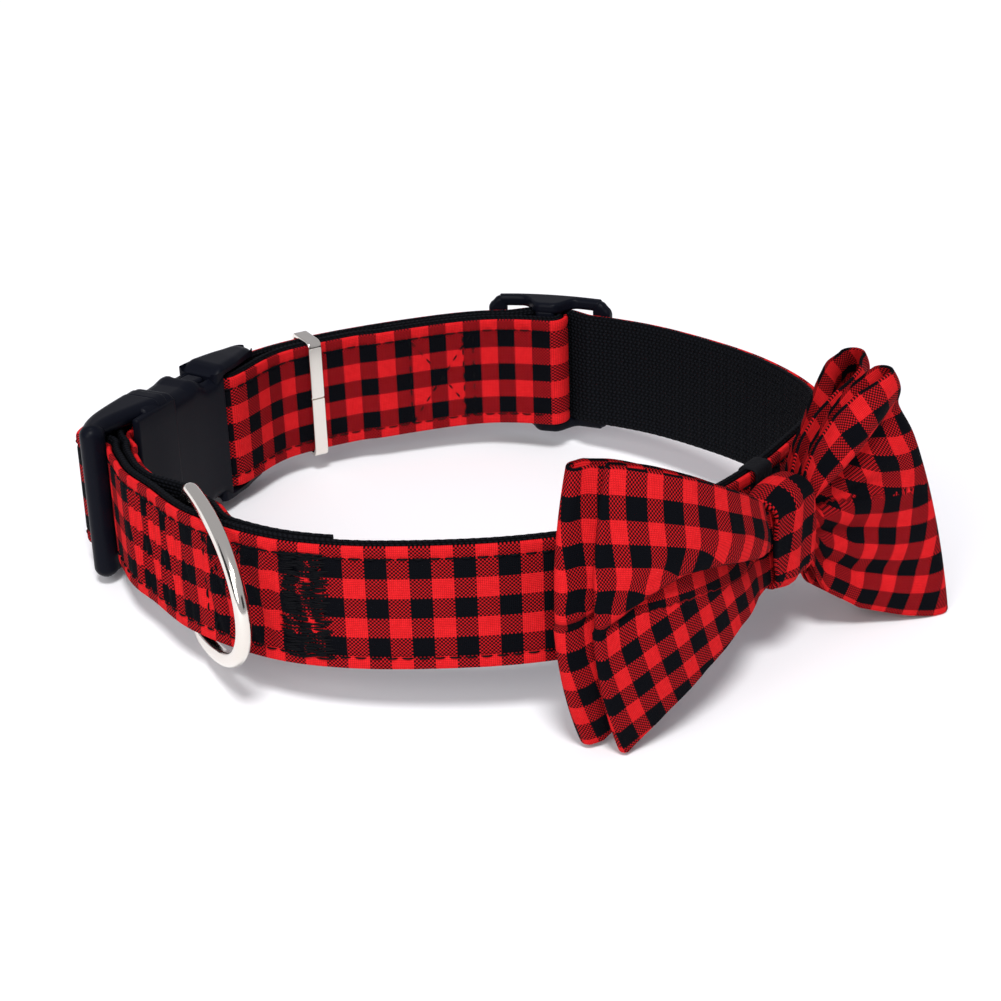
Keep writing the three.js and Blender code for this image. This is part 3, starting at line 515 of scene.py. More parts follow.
# The cover: a ribbon of red and black checked cotton, its edges folded under, sewn to the webbing
# with a row of stitches a little over 2 mm in from each edge.
COVER_HALF = 12.6
COVER_ROUND = 0.45
COVER_COLUMNS = 57
COVER_START = 2
MAIN_START_AT = 6.4
LAP_NARROWER = 0.06
LAP_EASE = 12.0
HEM = 2.0
STITCH_ROW = HALF_WIDTH - FIT - HEM
GROOVE_HALF = 0.35
GROOVE_DEEP = 0.32
PUCKER_DEEP = 0.42
PUCKER_SPAN = (6, 14, 28, 40)
PULLED_DEEP = 0.32
PULLED_SPAN = (30, 42, 60, 66)
CHECK = 8.06
THREAD = 0.365
COVER_SHIFT = (-0.65, CHECK * 0.73)
DARK_RED = (0.62, 0.009, 0.012, 1)
BRIGHT_RED = (0.90, 0.020, 0.024, 1)
MIXED_RED_PAINTED_SHADE = (0.52, 0.008, 0.011, 1)
BLACK = (0.0016, 0.002, 0.0036, 1)
THREAD_GAP_PAINTED_SHADE = 0.42
YARN_DEEP = 0.10
cover_points, cover_side, cover_walked = path_frame(covered)


def checked_cotton(name, shift, black_share=0.5):
    """Yarn-dyed check: bands of red and black yarn each way, CHECK mm apart. Where the two yarns
    differ, they show by turns, thread by thread, as on a plain weave."""
    finish = Finish(name, {"Roughness": 0.9, "Specular IOR Level": 0.06})
    along, across = finish.cloth()
    along, across = along + shift[0], across + shift[1]
    band_along = (along * (1 / CHECK)).join("FRACT").join("GREATER_THAN", 1 - black_share)
    band_across = (across * (1 / CHECK)).join("FRACT").join("GREATER_THAN", 0.5)
    warp = (along * (1 / THREAD)).join("FLOOR")
    weft = (across * (1 / THREAD)).join("FLOOR")
    over = ((warp + weft) * 0.5).join("FRACT").join("GREATER_THAN", 0.25)
    black = over * band_along + (1 - over) * band_across
    red = finish.mix(finish.speckle(900.0, 3.0), DARK_RED, BRIGHT_RED)
    # Where the two yarns differ, the red yarn is painted darker: painted shade in the weave.
    mixed = (band_along - band_across).join("ABSOLUTE")
    red = finish.mix(mixed, red, MIXED_RED_PAINTED_SHADE)
    yarn = (along * (np.pi / THREAD)).join("SINE").join("ABSOLUTE")
    yarn = yarn * (across * (np.pi / THREAD)).join("SINE").join("ABSOLUTE")
    # Toward the gaps between the threads the red is mixed toward black: painted shade between the threads.
    between = (1 - yarn).join("POWER", 2.0) * THREAD_GAP_PAINTED_SHADE
    finish.feed("Base Color", finish.mix(black + (1 - black) * between, red, BLACK))
    finish.bump(yarn, YARN_DEEP * MM)
    return finish.material


def walk_of(distance, lap):
    """The length walked along the cover at a distance round the loop: lap 0 is the front lap's
    inner layer, 1 the main run and 2 the inner layer at the back."""
    turn_low, turn_high = np.argmin(covered[:, 0]), np.argmax(covered[:, 0])
    part = [slice(0, turn_low), slice(turn_low + 20, turn_high), slice(turn_high, None)][lap]
    return cover_walked[part][np.argmin(np.abs(covered[part, 0] - distance))]


MAIN_START = walk_of(MAIN_START_AT, 1)


def over_span(value, span):
    """Rises from 0 to 1 over a span's first two places and falls back over its last two."""
    return ease(value, *span[:2]) * (1 - ease(value, *span[2:]))


def cover_relief(walked, height, off):
    """The cover's face: a groove along each row of stitches, fuller between them, and puckered by
    the sewing from a little past the end bar to the bar tack."""
    groove = np.exp(-(((np.abs(height) - STITCH_ROW) / GROOVE_HALF) ** 2))
    past = walked - MAIN_START
    pucker = over_span(past, PUCKER_SPAN) * np.sin(past * 2.3 + 0.10 * height + np.sin(height * 0.3))
    pulled = over_span(past, PULLED_SPAN) * np.sin(past * 1.5 - 0.55 * np.abs(height - 3) + 1.0)
    inside = 1 - ease(np.abs(height), 9.0, 11.0)
    relief = (PUCKER_DEEP * pucker + PULLED_DEEP * pulled) * inside - GROOVE_DEEP * groove
    return (off > FIT + COVER_THICK / 2) * relief


cover = strip(
    "cover", covered[COVER_START:], cover_relief,
    flat_profile(FIT, FIT + COVER_THICK, COVER_HALF, COVER_ROUND, COVER_COLUMNS),
    lambda walked: 1 - LAP_NARROWER * (1 - ease(walked, MAIN_START - LAP_EASE, MAIN_START)),
)
cover.data.materials.append(checked_cotton("checked_cover", COVER_SHIFT))
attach(cover, "collar")
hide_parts("plaid_cover")

# The stitching: black thread. A row runs along each edge of the cover, boxes crossed corner to
# corner hold the laps beside the D ring and at the back, and a dense bar tack holds the front lap.
THREAD_RADIUS = 0.2
STITCH_PITCH = 2.9
STITCH_SHARE = 0.78
STITCH_STAND = -0.12
ROW_INSET = (4, 6)
FRONT_BOX = (46.5, 56.0)
FRONT_BOX_ROW = 1.8
BACK_BOX_AT = 0.775 * ROUND
BACK_BOX_LENGTH = 16.0
BACK_BOX_ROW = -2.4
TACK_AT = 64.5
TACK_WIDTH = 8.0
TACK_PITCH = 0.36
TACK_STAND = 0.08


def on_cover(walked, height, off):
    """Points on the cover's face, off millimetres out of it, from the length walked and height."""
    at = read_line(cover_points, cover_walked, walked)
    side = read_line(cover_side, cover_walked, walked)
    flat = at + side * (FIT + COVER_THICK + off)[..., None]
    return settle(np.concatenate([flat, height[..., None]], axis=-1))


def stitches(name, starts, ends, off):
    """Short round stitches between pairs of places (length walked, height) on the cover, each one
    pulled in at both ends: off + THREAD_RADIUS (1.6 sin(pi t) - 0.9) at a share t of its length."""
    t = np.linspace(0, 1, 6)
    place_at = starts[:, None] + (ends - starts)[:, None] * t[None, :, None]
    stand = off + THREAD_RADIUS * (1.6 * np.sin(np.pi * t) - 0.9)
    angle = np.linspace(0, 2 * np.pi, 7)[:-1]
    run_way = (ends - starts) / np.linalg.norm(ends - starts, axis=1, keepdims=True)
    across = np.stack([-run_way[:, 1], run_way[:, 0]], axis=1)
    thick = THREAD_RADIUS * np.sqrt(np.clip(1 - (2 * t - 1) ** 6, 0.15, 1))
    aside = (thick[:, None] * np.cos(angle))[None, ..., None]
    ring_place = place_at[:, :, None] + across[:, None, None] * aside
    ring_off = np.broadcast_to(stand[:, None] + thick[:, None] * np.sin(angle), ring_place.shape[:3])
    return skin(name, list(on_cover(ring_place[..., 0], ring_place[..., 1], ring_off)))


def seam(start, stop):
    """The stitches of one straight row between two places (length walked, height)."""
    start, stop = np.array(start, dtype=float), np.array(stop, dtype=float)
    count = max(1, int(round(np.linalg.norm(stop - start) / STITCH_PITCH)))
    first = np.arange(count)[:, None] / count
    return start + (stop - start) * first, start + (stop - start) * (first + STITCH_SHARE / count)


def crossed_box(low, high, extra):
    """A box's two rows across the strap, its diagonals and one more row across, at extra; all
    places are lengths walked."""
    corners = [(low, -STITCH_ROW), (high, -STITCH_ROW), (high, STITCH_ROW), (low, STITCH_ROW)]
    ends = [(1, 2), (3, 0), (0, 2), (1, 3)]
    extra_row = seam((extra, -STITCH_ROW), (extra, STITCH_ROW))
    return [seam(corners[a], corners[b]) for a, b in ends] + [extra_row]


sewn = [
    seam((ROW_INSET[0], side * STITCH_ROW), (cover_walked[-1] - ROW_INSET[1], side * STITCH_ROW))
    for side in (1, -1)
]
front_low, front_high = walk_of(FRONT_BOX[0], 1), walk_of(FRONT_BOX[1], 1)
sewn += crossed_box(front_low, front_high, front_low + FRONT_BOX_ROW)
back_low, back_high = walk_of(BACK_BOX_AT, 2), walk_of(BACK_BOX_AT - BACK_BOX_LENGTH, 2)
sewn += crossed_box(back_low, back_high, back_high + BACK_BOX_ROW)
thread_finish = Finish("black_thread", {
    "Base Color": (0.0016, 0.0019, 0.003, 1), "Roughness": 0.6, "Specular IOR Level": 0.06,
}).material
sewn_starts, sewn_ends = [np.concatenate([row[k] for row in sewn]) for k in (0, 1)]
stitching = stitches("stitching", sewn_starts, sewn_ends, STITCH_STAND)
chance = np.random.default_rng(4)
tack_rows = np.repeat(np.arange(-STITCH_ROW - 0.4, STITCH_ROW + 0.5, TACK_PITCH), 3)
tack_start = walk_of(TACK_AT, 1) + TACK_WIDTH / 3 * np.tile(np.arange(3), len(tack_rows) // 3)
tack_start = tack_start + chance.uniform(-1.2, 0.2, len(tack_rows))
tack_end = tack_start + TACK_WIDTH / 3 + chance.uniform(0.2, 1.4, len(tack_rows))
tack_rise = chance.uniform(-0.2, 0.2, (2, len(tack_rows)))
tack = stitches(
    "bar_tack",
    np.stack([tack_start, tack_rows + tack_rise[0]], axis=1),
    np.stack([tack_end, tack_rows + tack_rise[1]], axis=1), TACK_STAND,
)
for sewing in (stitching, tack):
    sewing.data.materials.append(thread_finish)
    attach(sewing, "collar")

# The buckle's male half, satin black plastic: a round end bar, a bar that the strap is looped
# round, a collar and two sprung prongs, all between two rails.
SIDE_PLAY = 0.6
SLOT_HALF = HALF_WIDTH + SIDE_PLAY
BUCKLE_RIM = 3.7
RAIL_TOP = SLOT_HALF + BUCKLE_RIM
BUCKLE_INNER = 8.2
BUCKLE_OUTER = 2.0
PRONG_LENGTH = 17.0
PRONG_FACES = (-5.6, -1.2)
PRONG_SIDES = (5.6, 2.6)
COLLAR_END = SOCKET_AT + FIT
COLLAR_START = COLLAR_END + COLLAR_THICK


def round_box(count=9):
    """A box section's points as two parts, each from -1 to 1: the first scales with the straight
    sides and the second with the corners' radius."""
    turn = np.linspace(0, np.pi / 2, 6)
    side = np.linspace(-1, 1, count)[1:-1]
    straight, curve = [], []
    for quarter in range(4):
        c, s = np.cos(quarter * np.pi / 2), np.sin(quarter * np.pi / 2)
        spin = np.array([[c, s], [-s, c]])
        straight += [np.stack([np.ones_like(side), side], axis=1) @ spin, np.ones((6, 2)) @ spin]
        curve += [np.array([[1.0, 0.0]] * len(side)) @ spin]
        curve += [np.stack([np.cos(turn), np.sin(turn)], axis=1) @ spin]
    return np.concatenate(straight), np.concatenate(curve)


def moulded(rows, corner, end_round=0.7, dent=None, step=0.35, soften=5, count=9):
    """A moulded bar along the loop: rows of (distance, low, high, bottom, top), blended, with round
    corners and round ends. dent adds (out, up) to each point, from its distance, out and height."""
    rows = np.array(sorted(rows))
    first, last = rows[0, 0], rows[-1, 0]
    turn = np.linspace(np.pi / 2, 0, 5)
    inner = np.linspace(first + end_round, last - end_round, max(3, int((last - first) / step)))[1:-1]
    distance = np.concatenate([
        first + end_round * (1 - np.sin(turn)), inner, last - end_round * (1 - np.sin(turn[::-1]))
    ])
    inset = np.concatenate([
        end_round * (1 - np.cos(turn)), np.zeros(len(inner)), end_round * (1 - np.cos(turn[::-1]))
    ])
    shifts = np.linspace(-1, 1, soften)
    low, high, bottom, top = [
        sum(np.interp(distance + shift, rows[:, 0], rows[:, k]) for shift in shifts) / soften
        for k in range(1, 5)
    ]
    radius = np.maximum(corner - inset, 0.2)[:, None]
    straight, curve = round_box(count)
    wide, tall = [((b - a) / 2 - inset - radius[:, 0])[:, None] for a, b in ((low, high), (bottom, top))]
    off = (low + high)[:, None] / 2 + straight[:, 0] * wide + curve[:, 0] * radius
    height = (bottom + top)[:, None] / 2 + straight[:, 1] * tall + curve[:, 1] * radius
    distance = np.broadcast_to(distance[:, None], off.shape)
    if dent:
        out_by, up_by = dent(distance, off, height)
        off, height = off + out_by, height + up_by
    return settle(np.concatenate([plan(distance, off), height[..., None]], axis=-1))


def upright(distance, outward, radius, bottom, top, stretch=1.0):
    """A round bar across the strap, its ends rounded; stretch widens it along the strap."""
    turn = np.linspace(0, np.pi / 2, 8)
    cap = radius * 0.85
    height = np.concatenate([
        bottom + cap * (1 - np.cos(turn)), np.linspace(bottom + cap, top - cap, 20)[1:-1],
        top - cap * (1 - np.cos(turn[::-1])),
    ])
    thick = radius * np.concatenate([np.sin(turn), np.ones(18), np.sin(turn[::-1])]).clip(0.12)
    angle = np.linspace(0, 2 * np.pi, 33)[:-1]
    at = distance + stretch * thick[:, None] * np.cos(angle)
    off = outward + thick[:, None] * np.sin(angle)
    height = np.broadcast_to(height[:, None, None], (*at.shape, 1))
    return settle(np.concatenate([plan(at, off), height], axis=-1))


PLASTIC_DARK = (0.0030, 0.0036, 0.0070, 1)
PLASTIC_LIGHT = (0.0040, 0.0048, 0.0090, 1)
plastic_finish = Finish("black_plastic", {"Roughness": 0.4, "Specular IOR Level": 0.06})
grain = plastic_finish.speckle(2600.0, 2.0)
plastic_finish.feed("Base Color", plastic_finish.mix(grain, PLASTIC_DARK, PLASTIC_LIGHT))
plastic_finish.feed("Roughness", grain * 0.10 + 0.34)
plastic_finish.bump(grain, 0.02 * MM, 0.5)


def dress_plastic(piece, node):
    """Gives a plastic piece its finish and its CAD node."""
    piece.data.materials.append(plastic_finish.material)
    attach(piece, "collar")
    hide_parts(node)


bar_low, bar_high = END_BAR_OUT - END_BAR_RADIUS, END_BAR_OUT + END_BAR_RADIUS
plug_inner, plug_outer = 0.4 - BUCKLE_INNER, BUCKLE_OUTER - 0.2
plug = [
    upright(0, END_BAR_OUT, END_BAR_RADIUS + 0.15, -RAIL_TOP, RAIL_TOP, 1.05),
    upright(LOOP_BAR_AT, LOOP_BAR_OUT, LOOP_BAR_RADIUS, -SLOT_HALF - 1, SLOT_HALF + 1),
    moulded([
        (end, plug_inner, plug_outer, -RAIL_TOP, RAIL_TOP) for end in (COLLAR_START, COLLAR_END)
    ], 2.2, 0.3),
]
for side in (1, -1):
    low_end, high_end = sorted((side * SLOT_HALF, side * RAIL_TOP))
    plug.append(moulded([
        (END_BAR_RADIUS * 0.75, bar_low + 0.7, bar_high - 0.5, low_end, high_end),
        (-END_BAR_RADIUS * 2, bar_low - 1.0, bar_high, low_end, high_end),
        (COLLAR_START - 1, plug_inner, plug_outer, low_end, high_end),
    ], 1.8, 1.2))
    arm = sorted(side * (RAIL_TOP - inset) for inset in PRONG_SIDES)
    plug.append(moulded([
        (end, *PRONG_FACES, *arm) for end in (COLLAR_END, SOCKET_AT - PRONG_LENGTH)
    ], 0.8))
dress_plastic(skin("buckle_plug_moulding", plug), "buckle_plug")

# The buckle's female half: a smooth hollow shell, a release window in each side that dips to the
# prong's tab, and two long ears that carry the bar that the strap turns round.
WINDOW_AT = SOCKET_AT - PRONG_LENGTH + 2.4
WINDOW_HALF = 3.2
WINDOW_OFF = -3.4
WINDOW_DEEP = 4.6
SOCKET_SKIN = [
    (0.0, 0.2, 0.3, -1.0), (8.6, 0.0, 0.0, -1.0), (9.4, 0.0, 0.0, -0.5), (12.2, 0.0, 0.0, -0.5),
    (13.6, 0.0, 0.0, -2.2), (18.2, 0.0, 0.0, -2.2), (20.6, 0.0, 0.0, -0.3), (27.0, 1.0, 0.8, -0.4),
    (SOCKET_LENGTH - 1.5, 3.4, 1.4, -0.8), (SOCKET_LENGTH, 4.0, 2.0, -1.6),
]
SHELL_END = 21.0
MOUTH_AT = -12.4
SHELL_DROP = 0.8


def window(distance, off, height):
    """A round edged hollow in the shell's upper and lower sides, over the prongs' tabs."""
    across = 1 - ease(np.abs(off - WINDOW_OFF), 1.9, 2.9)
    along = 1 - ease(np.abs(distance - WINDOW_AT), WINDOW_HALF - 1.1, WINDOW_HALF + 0.3)
    deep = WINDOW_DEEP * across * along * (np.abs(height) > RAIL_TOP - 6)
    return 0, -np.sign(height) * deep


def socket_rows(start, stop):
    """The shell's rows between two lengths in from its mouth: (in, low, high, tall) become
    (distance, low, high, bottom, top)."""
    table = np.array(SOCKET_SKIN)
    inner_rows = (table[:, 0] > start) & (table[:, 0] < stop)
    inward = np.unique(np.concatenate([[start, stop], table[inner_rows, 0]]))
    low, high, tall = [np.interp(inward, table[:, 0], table[:, k]) for k in (1, 2, 3)]
    return SOCKET_AT - inward, low - BUCKLE_INNER, BUCKLE_OUTER - high, RAIL_TOP - SHELL_DROP + tall


at, low, high, tall = socket_rows(0, SHELL_END)
socket = [moulded(list(zip(at, low, high, -tall, tall)), 2.6, 0.5, window, 0.25, count=25)]
for side in (1, -1):
    low_end, high_end = sorted((side * (SLOT_HALF - 0.2), side * (RAIL_TOP - 0.5)))
    socket.append(moulded([
        (MOUTH_AT, 0.6 - BUCKLE_INNER, BUCKLE_OUTER + 0.1, low_end, high_end),
        (SOCKET_AT - 2, -BUCKLE_INNER, BUCKLE_OUTER, low_end, high_end),
    ], 2.2, 0.8))
socket.append(moulded([
    (MOUTH_AT + 4.0, 0.6 - BUCKLE_INNER, 2.2 - BUCKLE_INNER, 1.5 - RAIL_TOP, RAIL_TOP - 1.5),
    (SOCKET_AT - 2, -BUCKLE_INNER, 2.0 - BUCKLE_INNER, 1.5 - RAIL_TOP, RAIL_TOP - 1.5),
], 0.7, 0.5))
at, low, high, tall = socket_rows(SHELL_END - 3.5, SOCKET_LENGTH)
socket.append(moulded(list(zip(at, low, high, np.full(len(at), SLOT_HALF), tall)), 1.7, 1.0))
socket.append(moulded(list(zip(at, low, high, -tall, np.full(len(at), -SLOT_HALF))), 1.7, 1.0))
socket.append(upright(SOCKET_BAR_AT, SOCKET_BAR_OUT, SOCKET_BAR_RADIUS, -SLOT_HALF - 1, SLOT_HALF + 1))
dress_plastic(skin("buckle_socket_moulding", socket), "buckle_socket")

# The slider, of the same plastic: a flat frame with round corners outside the strap, and a sunk
# middle bar that the lap is sewn round.
SLIDER_LENGTH = 28.0
SLIDER_THICK = 2.4
SLIDER_RIM = 2.6
SLIDER_NOSE = 1.0
SLIDER_ENDS = [
    (SLIDER_LENGTH / 2, 3.2), (SLIDER_LENGTH / 2 - 0.7, 1.3), (SLIDER_LENGTH / 2 - 2.2, 0.2),
    (SLIDER_REACH - 0.6, 0.0),
]
slider_top = SLOT_HALF + SLIDER_RIM
slider_face = FIT + SLIDER_THICK
bar_low = SLIDER_BAR_OUT - SLIDER_BAR_THICK / 2
slider_parts = []
for side in (1, -1):
    slider_parts.append(moulded([
        (SLIDER_AT + side * along, FIT, slider_face, drop - slider_top, slider_top - drop)
        for along, drop in SLIDER_ENDS
    ], 1.0, 0.6, soften=3))
    inner_half, outer_half = sorted((side * SLOT_HALF, side * slider_top))
    slider_parts.append(moulded([
        (SLIDER_AT + along, low_face, slider_face, inner_half, outer_half) for along, low_face in (
            (-SLIDER_REACH - 1, FIT), (-SLIDER_BAR_LENGTH, FIT), (-SLIDER_BAR_LENGTH / 2, bar_low),
            (SLIDER_BAR_LENGTH / 2, bar_low), (SLIDER_BAR_LENGTH, FIT), (SLIDER_REACH + 1, FIT))
    ], 0.9, 0.3))
slider_parts.append(moulded([
    (SLIDER_AT + along, bar_low, bar_low + SLIDER_BAR_THICK, -SLOT_HALF - 1, SLOT_HALF + 1)
    for along in (-SLIDER_NOSE - SLIDER_BAR_THICK / 2, SLIDER_BAR_LENGTH / 2)
], 0.9, 0.9))
dress_plastic(skin("slider_moulding", slider_parts), "strap_slider")

# The keeper: a flat band of nickelled wire, bent round both layers of the back lap, its two ends
# meeting on the inner face.
KEEPER_AT = 0.831 * ROUND
KEEPER_WIDTH = 3.2
KEEPER_THICK = 1.0
JOINT_AT = 0.4
JOINT_HALF = 0.16
JOINT_DEEP = 0.4


def box_outline(low, high, half, corner, count=14):
    """A closed path round a box, (out, up) from low to high and half up and down, corners round."""
    straight, curve = round_box(count)
    middle = np.array([(low + high) / 2, 0])
    return middle + straight * ((high - low) / 2 - corner, half - corner) + curve * corner


def hoop(outline, thick, width, corner, bulge=0.0):
    """A flat band bent along a closed outline: points (out, along, up), thick in the outline's
    plane and width across it, with bulge added to its outer face in the middle."""
    tangent = np.roll(outline, -1, axis=0) - np.roll(outline, 1, axis=0)
    tangent /= np.linalg.norm(tangent, axis=1, keepdims=True)
    normal = np.stack([tangent[:, 1], -tangent[:, 0]], axis=1)
    straight, curve = round_box(13)
    section = straight * (thick / 2 - corner, width / 2 - corner) + curve * corner
    off = section[:, 0] + bulge * (section[:, 0] > 0) * (1 - (2 * section[:, 1] / width) ** 2)
    plane = outline[:, None] + normal[:, None] * off[None, :, None]
    return np.stack([plane[..., 0], np.broadcast_to(section[:, 1], plane.shape[:2]), plane[..., 1]], axis=-1)


def stand_at(points, distance):
    """Points (out, along, up) moved to the collar at a distance round the loop."""
    at = plan(distance, 0.0)
    out = plan(distance, 1.0) - at
    along = np.array([-out[1], out[0]])
    flat = at + points[..., :1] * out + points[..., 1:2] * along
    return settle(np.concatenate([flat, points[..., 2:]], axis=-1))


nickel = Finish("nickel", {
    "Base Color": (0.80, 0.765, 0.70, 1), "Metallic": 1.0, "Roughness": 0.13,
}).material
keeper_depth = 2 * LAYER + BACK_LAP_GAP
keeper_path = box_outline(
    -keeper_depth - FIT - KEEPER_THICK / 2, FIT + KEEPER_THICK / 2,
    HALF_WIDTH + FIT + KEEPER_THICK / 2, 1.0, 161,
)
keeper_grid = hoop(keeper_path, KEEPER_THICK, KEEPER_WIDTH, 0.35)
joint = (np.abs(keeper_grid[..., 2] - JOINT_AT) < JOINT_HALF) & (keeper_grid[..., 0] < -keeper_depth - FIT)
keeper_grid[..., 0] += JOINT_DEEP * joint
keeper = skin("keeper_band", stand_at(keeper_grid, KEEPER_AT), ring=True)
keeper.data.materials.append(nickel)
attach(keeper, "collar")
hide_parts("keeper_loop")

# The D ring: nickelled wire with a flattened section, a straight bar between the two layers of the
# lap and half an oval outside it, drooping a little.
RING_REACH = 28.8
RING_HALF = 15.8
RING_CORNER = 3.6
RING_THICK = 2.8
RING_LIFT = -0.3
RING_DROOP = 0.5
RING_SWING = 12.0
RING_ROUND = 1.25
turn = np.linspace(0, np.pi / 2, 12, endpoint=False)
arc = np.linspace(0, np.pi, 120)
straight_half = RING_HALF - RING_CORNER
lower = np.stack([RING_CORNER * (1 - np.cos(turn)), straight_half + RING_CORNER * np.sin(turn)], axis=1)
ring_path = np.concatenate([
    np.stack([np.zeros(20), np.linspace(-straight_half, straight_half, 20, endpoint=False)], axis=1),
    lower,
    np.stack([RING_CORNER + (RING_REACH - RING_CORNER) * np.sin(arc), RING_HALF * np.cos(arc)], axis=1),
    (lower * (1, -1))[::-1],
])
ring_grid = hoop(ring_path, RING_WIDE, RING_THICK, RING_ROUND)
ring_out = outer_face(RING_AT) - LAYER - FIT - RING_WIDE / 2
ring_at = plan(RING_AT, ring_out)
out_way = plan(RING_AT, ring_out + 1) - ring_at
swing, droop = np.radians(RING_SWING), np.radians(RING_DROOP)
level_way = np.array([-out_way[1], out_way[0]]) * np.cos(swing) + out_way * np.sin(swing)
reach_way = np.array([*(level_way * np.cos(droop)), -np.sin(droop)])
rise_way = np.array([*(level_way * np.sin(droop)), np.cos(droop)])
ring_axes = np.stack([reach_way, np.cross(rise_way, reach_way), rise_way])
ring_points = ring_grid @ ring_axes + (*ring_at, RING_LIFT)
ring = skin("d_ring_wire", settle(ring_points), ring=True)
ring.data.materials.append(nickel)
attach(ring, "ring")
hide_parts("d_ring")

# The bow's elastic: a flat black band, 6 mm wide, in a loop round the strap behind the knot. It
# shows at the knot's upper edge.
BOW_AT = 0.394 * ROUND
ELASTIC_WIDTH = 6.0
ELASTIC_THICK = 0.6
ELASTIC_SHIFT = 3.0
ELASTIC_PLAY = 0.1
ELASTIC_DARK = (0.0012, 0.0014, 0.002, 1)
ELASTIC_LIGHT = (0.005, 0.0055, 0.008, 1)
elastic_path = box_outline(
    -LAYER - FIT - ELASTIC_THICK / 2, FIT + ELASTIC_THICK / 2,
    HALF_WIDTH + ELASTIC_PLAY + ELASTIC_THICK / 2, 1.0,
)
elastic_grid = stand_at(hoop(elastic_path, ELASTIC_THICK, ELASTIC_WIDTH, 0.4), BOW_AT + ELASTIC_SHIFT)
elastic = skin("elastic_band", elastic_grid, ring=True)
elastic_finish = Finish("black_elastic", {"Roughness": 0.7, "Specular IOR Level": 0.12})
cord_rib = elastic_finish.speckle(1400.0, 3.0)
elastic_finish.feed("Base Color", elastic_finish.mix(cord_rib, ELASTIC_DARK, ELASTIC_LIGHT))
elastic_finish.bump(cord_rib, 0.2 * MM)
elastic.data.materials.append(elastic_finish.material)
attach(elastic, "collar")
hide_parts("bow_elastic")

# The bow tie: two flat tubes of the same cotton, one behind the other, drawn in at the middle. The
# wings spread from the gather, lean back at the top, and fold: the left one has one deep fold with
# its upper lip hanging over, the right one a pleat along its upper edge.
BOW_LIFT = 1.8
BOW_LEAN = 6.5
BOW_LEFT = 44.7
BOW_RIGHT = 35.5
BOW_HALF_HEIGHT = 28.8
GATHER_HALF = 7.8
GATHER_START = 7.4
BOW_CLOTH = 0.7
LAYER_STEP = 1.3
REAR_MIDDLE = 3.95
FRONT_MIDDLE = 6.55
REAR_LOWER = 0.965
LEFT_BULGE = 5.9
RIGHT_BULGE = 4.5
RIGHT_SLANT = 3.5
LEFT_SLANT = 3.7
RIGHT_TWIST = 5.0
LEFT_TWIST = 1.5
LEFT_WING_LIFT = 5.7
RIGHT_WING_LIFT = -5.0
STATIONS = 150
END_STEPS = 13
FOLD_STEPS = 46
FOLD_CROWD = 1.5
TAPER = 0.26
LEFT_STRETCH = 1.16
RIGHT_STRETCH = 1.05
LEFT_MAP_RISE = 9.0
LEFT_MAP_SHEAR = 0.15
MAP_JUMP = (0.06, 0.11)
LIP_OUT = 1.15
LIP_FADE = 1.2
LIP_EDGE = 0.07
LIP_SUNK = 0.35
LIP_DROP = 0.6
SLOPE_OUT = 0.2
CREASE_HALF = 0.09
CREASE_SPAN = (0, 0.12, 0.35, 0.9)
BOW_SHIFT = (0.0, CHECK * 0.935)
BOW_BLACK_SHARE = 0.56
WING_FLARE = [
    (0.0, 0.0, 0.0, 0.0, 0.0), (0.15, 0.23, -0.04, 0.30, 0.54), (0.35, 0.46, 0.08, 0.57, 0.78),
    (0.6, 0.66, 0.36, 0.80, 0.90), (0.8, 0.80, 0.65, 0.92, 0.97), (1.0, 0.93, 0.97, 1.0, 1.0),
]
LEFT_FOLD = [
    (0.0, 0.06, 1.4), (0.12, 0.32, 3.8), (0.26, 0.39, 5.4), (0.47, 0.38, 5.4), (0.68, 0.27, 3.4),
    (1.0, -0.07, 1.0),
]
RIGHT_FOLD = [(0.0, 0.05, 1.0), (0.15, 0.18, 2.4), (0.5, 0.42, 3.4), (1.0, 0.70, 2.2)]
RIGHT_CREASES = [(-0.02, 0.20, 1.9), (-0.35, -0.22, 1.5), (-0.70, -0.62, 1.2)]
bow_point = plan(BOW_AT, 0.0)
bow_out = plan(BOW_AT, 1.0) - bow_point
bow_axes = np.array([[-bow_out[1], bow_out[0], 0], [-bow_out[0], -bow_out[1], 0], [0, 0, 1]])
bow_turn = bow_axes.T @ turned(1, -BOW_LEAN)


def on_bow(points):
    """Points in the bow's own axes, along the strap, into the loop and up, moved to the collar."""
    flat = points.reshape(-1, 3) @ bow_turn.T + (*bow_point, BOW_LIFT)
    return settle(flat).reshape(points.shape)


def table_at(rows, share):
    """Each column after the first of a table, read at a share by straight lines."""
    rows = np.array(rows)
    return [np.interp(share, rows[:, 0], rows[:, k]) for k in range(1, rows.shape[1])]


def wing_height(share, level, leftward):
    """Half the wing's height there: it grows from the gather's to the bow's by the flare's shares,
    above and below the middle of the left wing, then of the right one."""
    left_above, left_below, right_above, right_below = table_at(WING_FLARE, share)
    above, below = np.where(leftward, left_above, right_above), np.where(leftward, left_below, right_below)
    return GATHER_HALF + (BOW_HALF_HEIGHT - GATHER_HALF) * np.where(level > 0, above, below)


def left_fold(share, level):
    """How far the left wing's cloth stands out, how far it drops, and how far above the fold's line
    it is: a steep lip above the line, a slow slope below it."""
    line, depth = table_at(LEFT_FOLD, share)
    x = level - line
    up, down = np.maximum(x, 0), np.minimum(x, 0)
    lip = LIP_OUT * (1 - np.exp(-up / LIP_EDGE)) * np.exp(-LIP_FADE * up)
    lip = lip - LIP_SUNK * np.exp(-up / LIP_EDGE)
    slope = -LIP_SUNK * np.exp(down / 0.3) + SLOPE_OUT * (1 - np.exp(down / 0.5))
    drop = -LIP_DROP * depth * np.exp(-(((x - 0.10) / LIP_EDGE) ** 2)) * ease(x, 0, 0.05)
    return depth * np.where(x > 0, lip, slope), drop, x


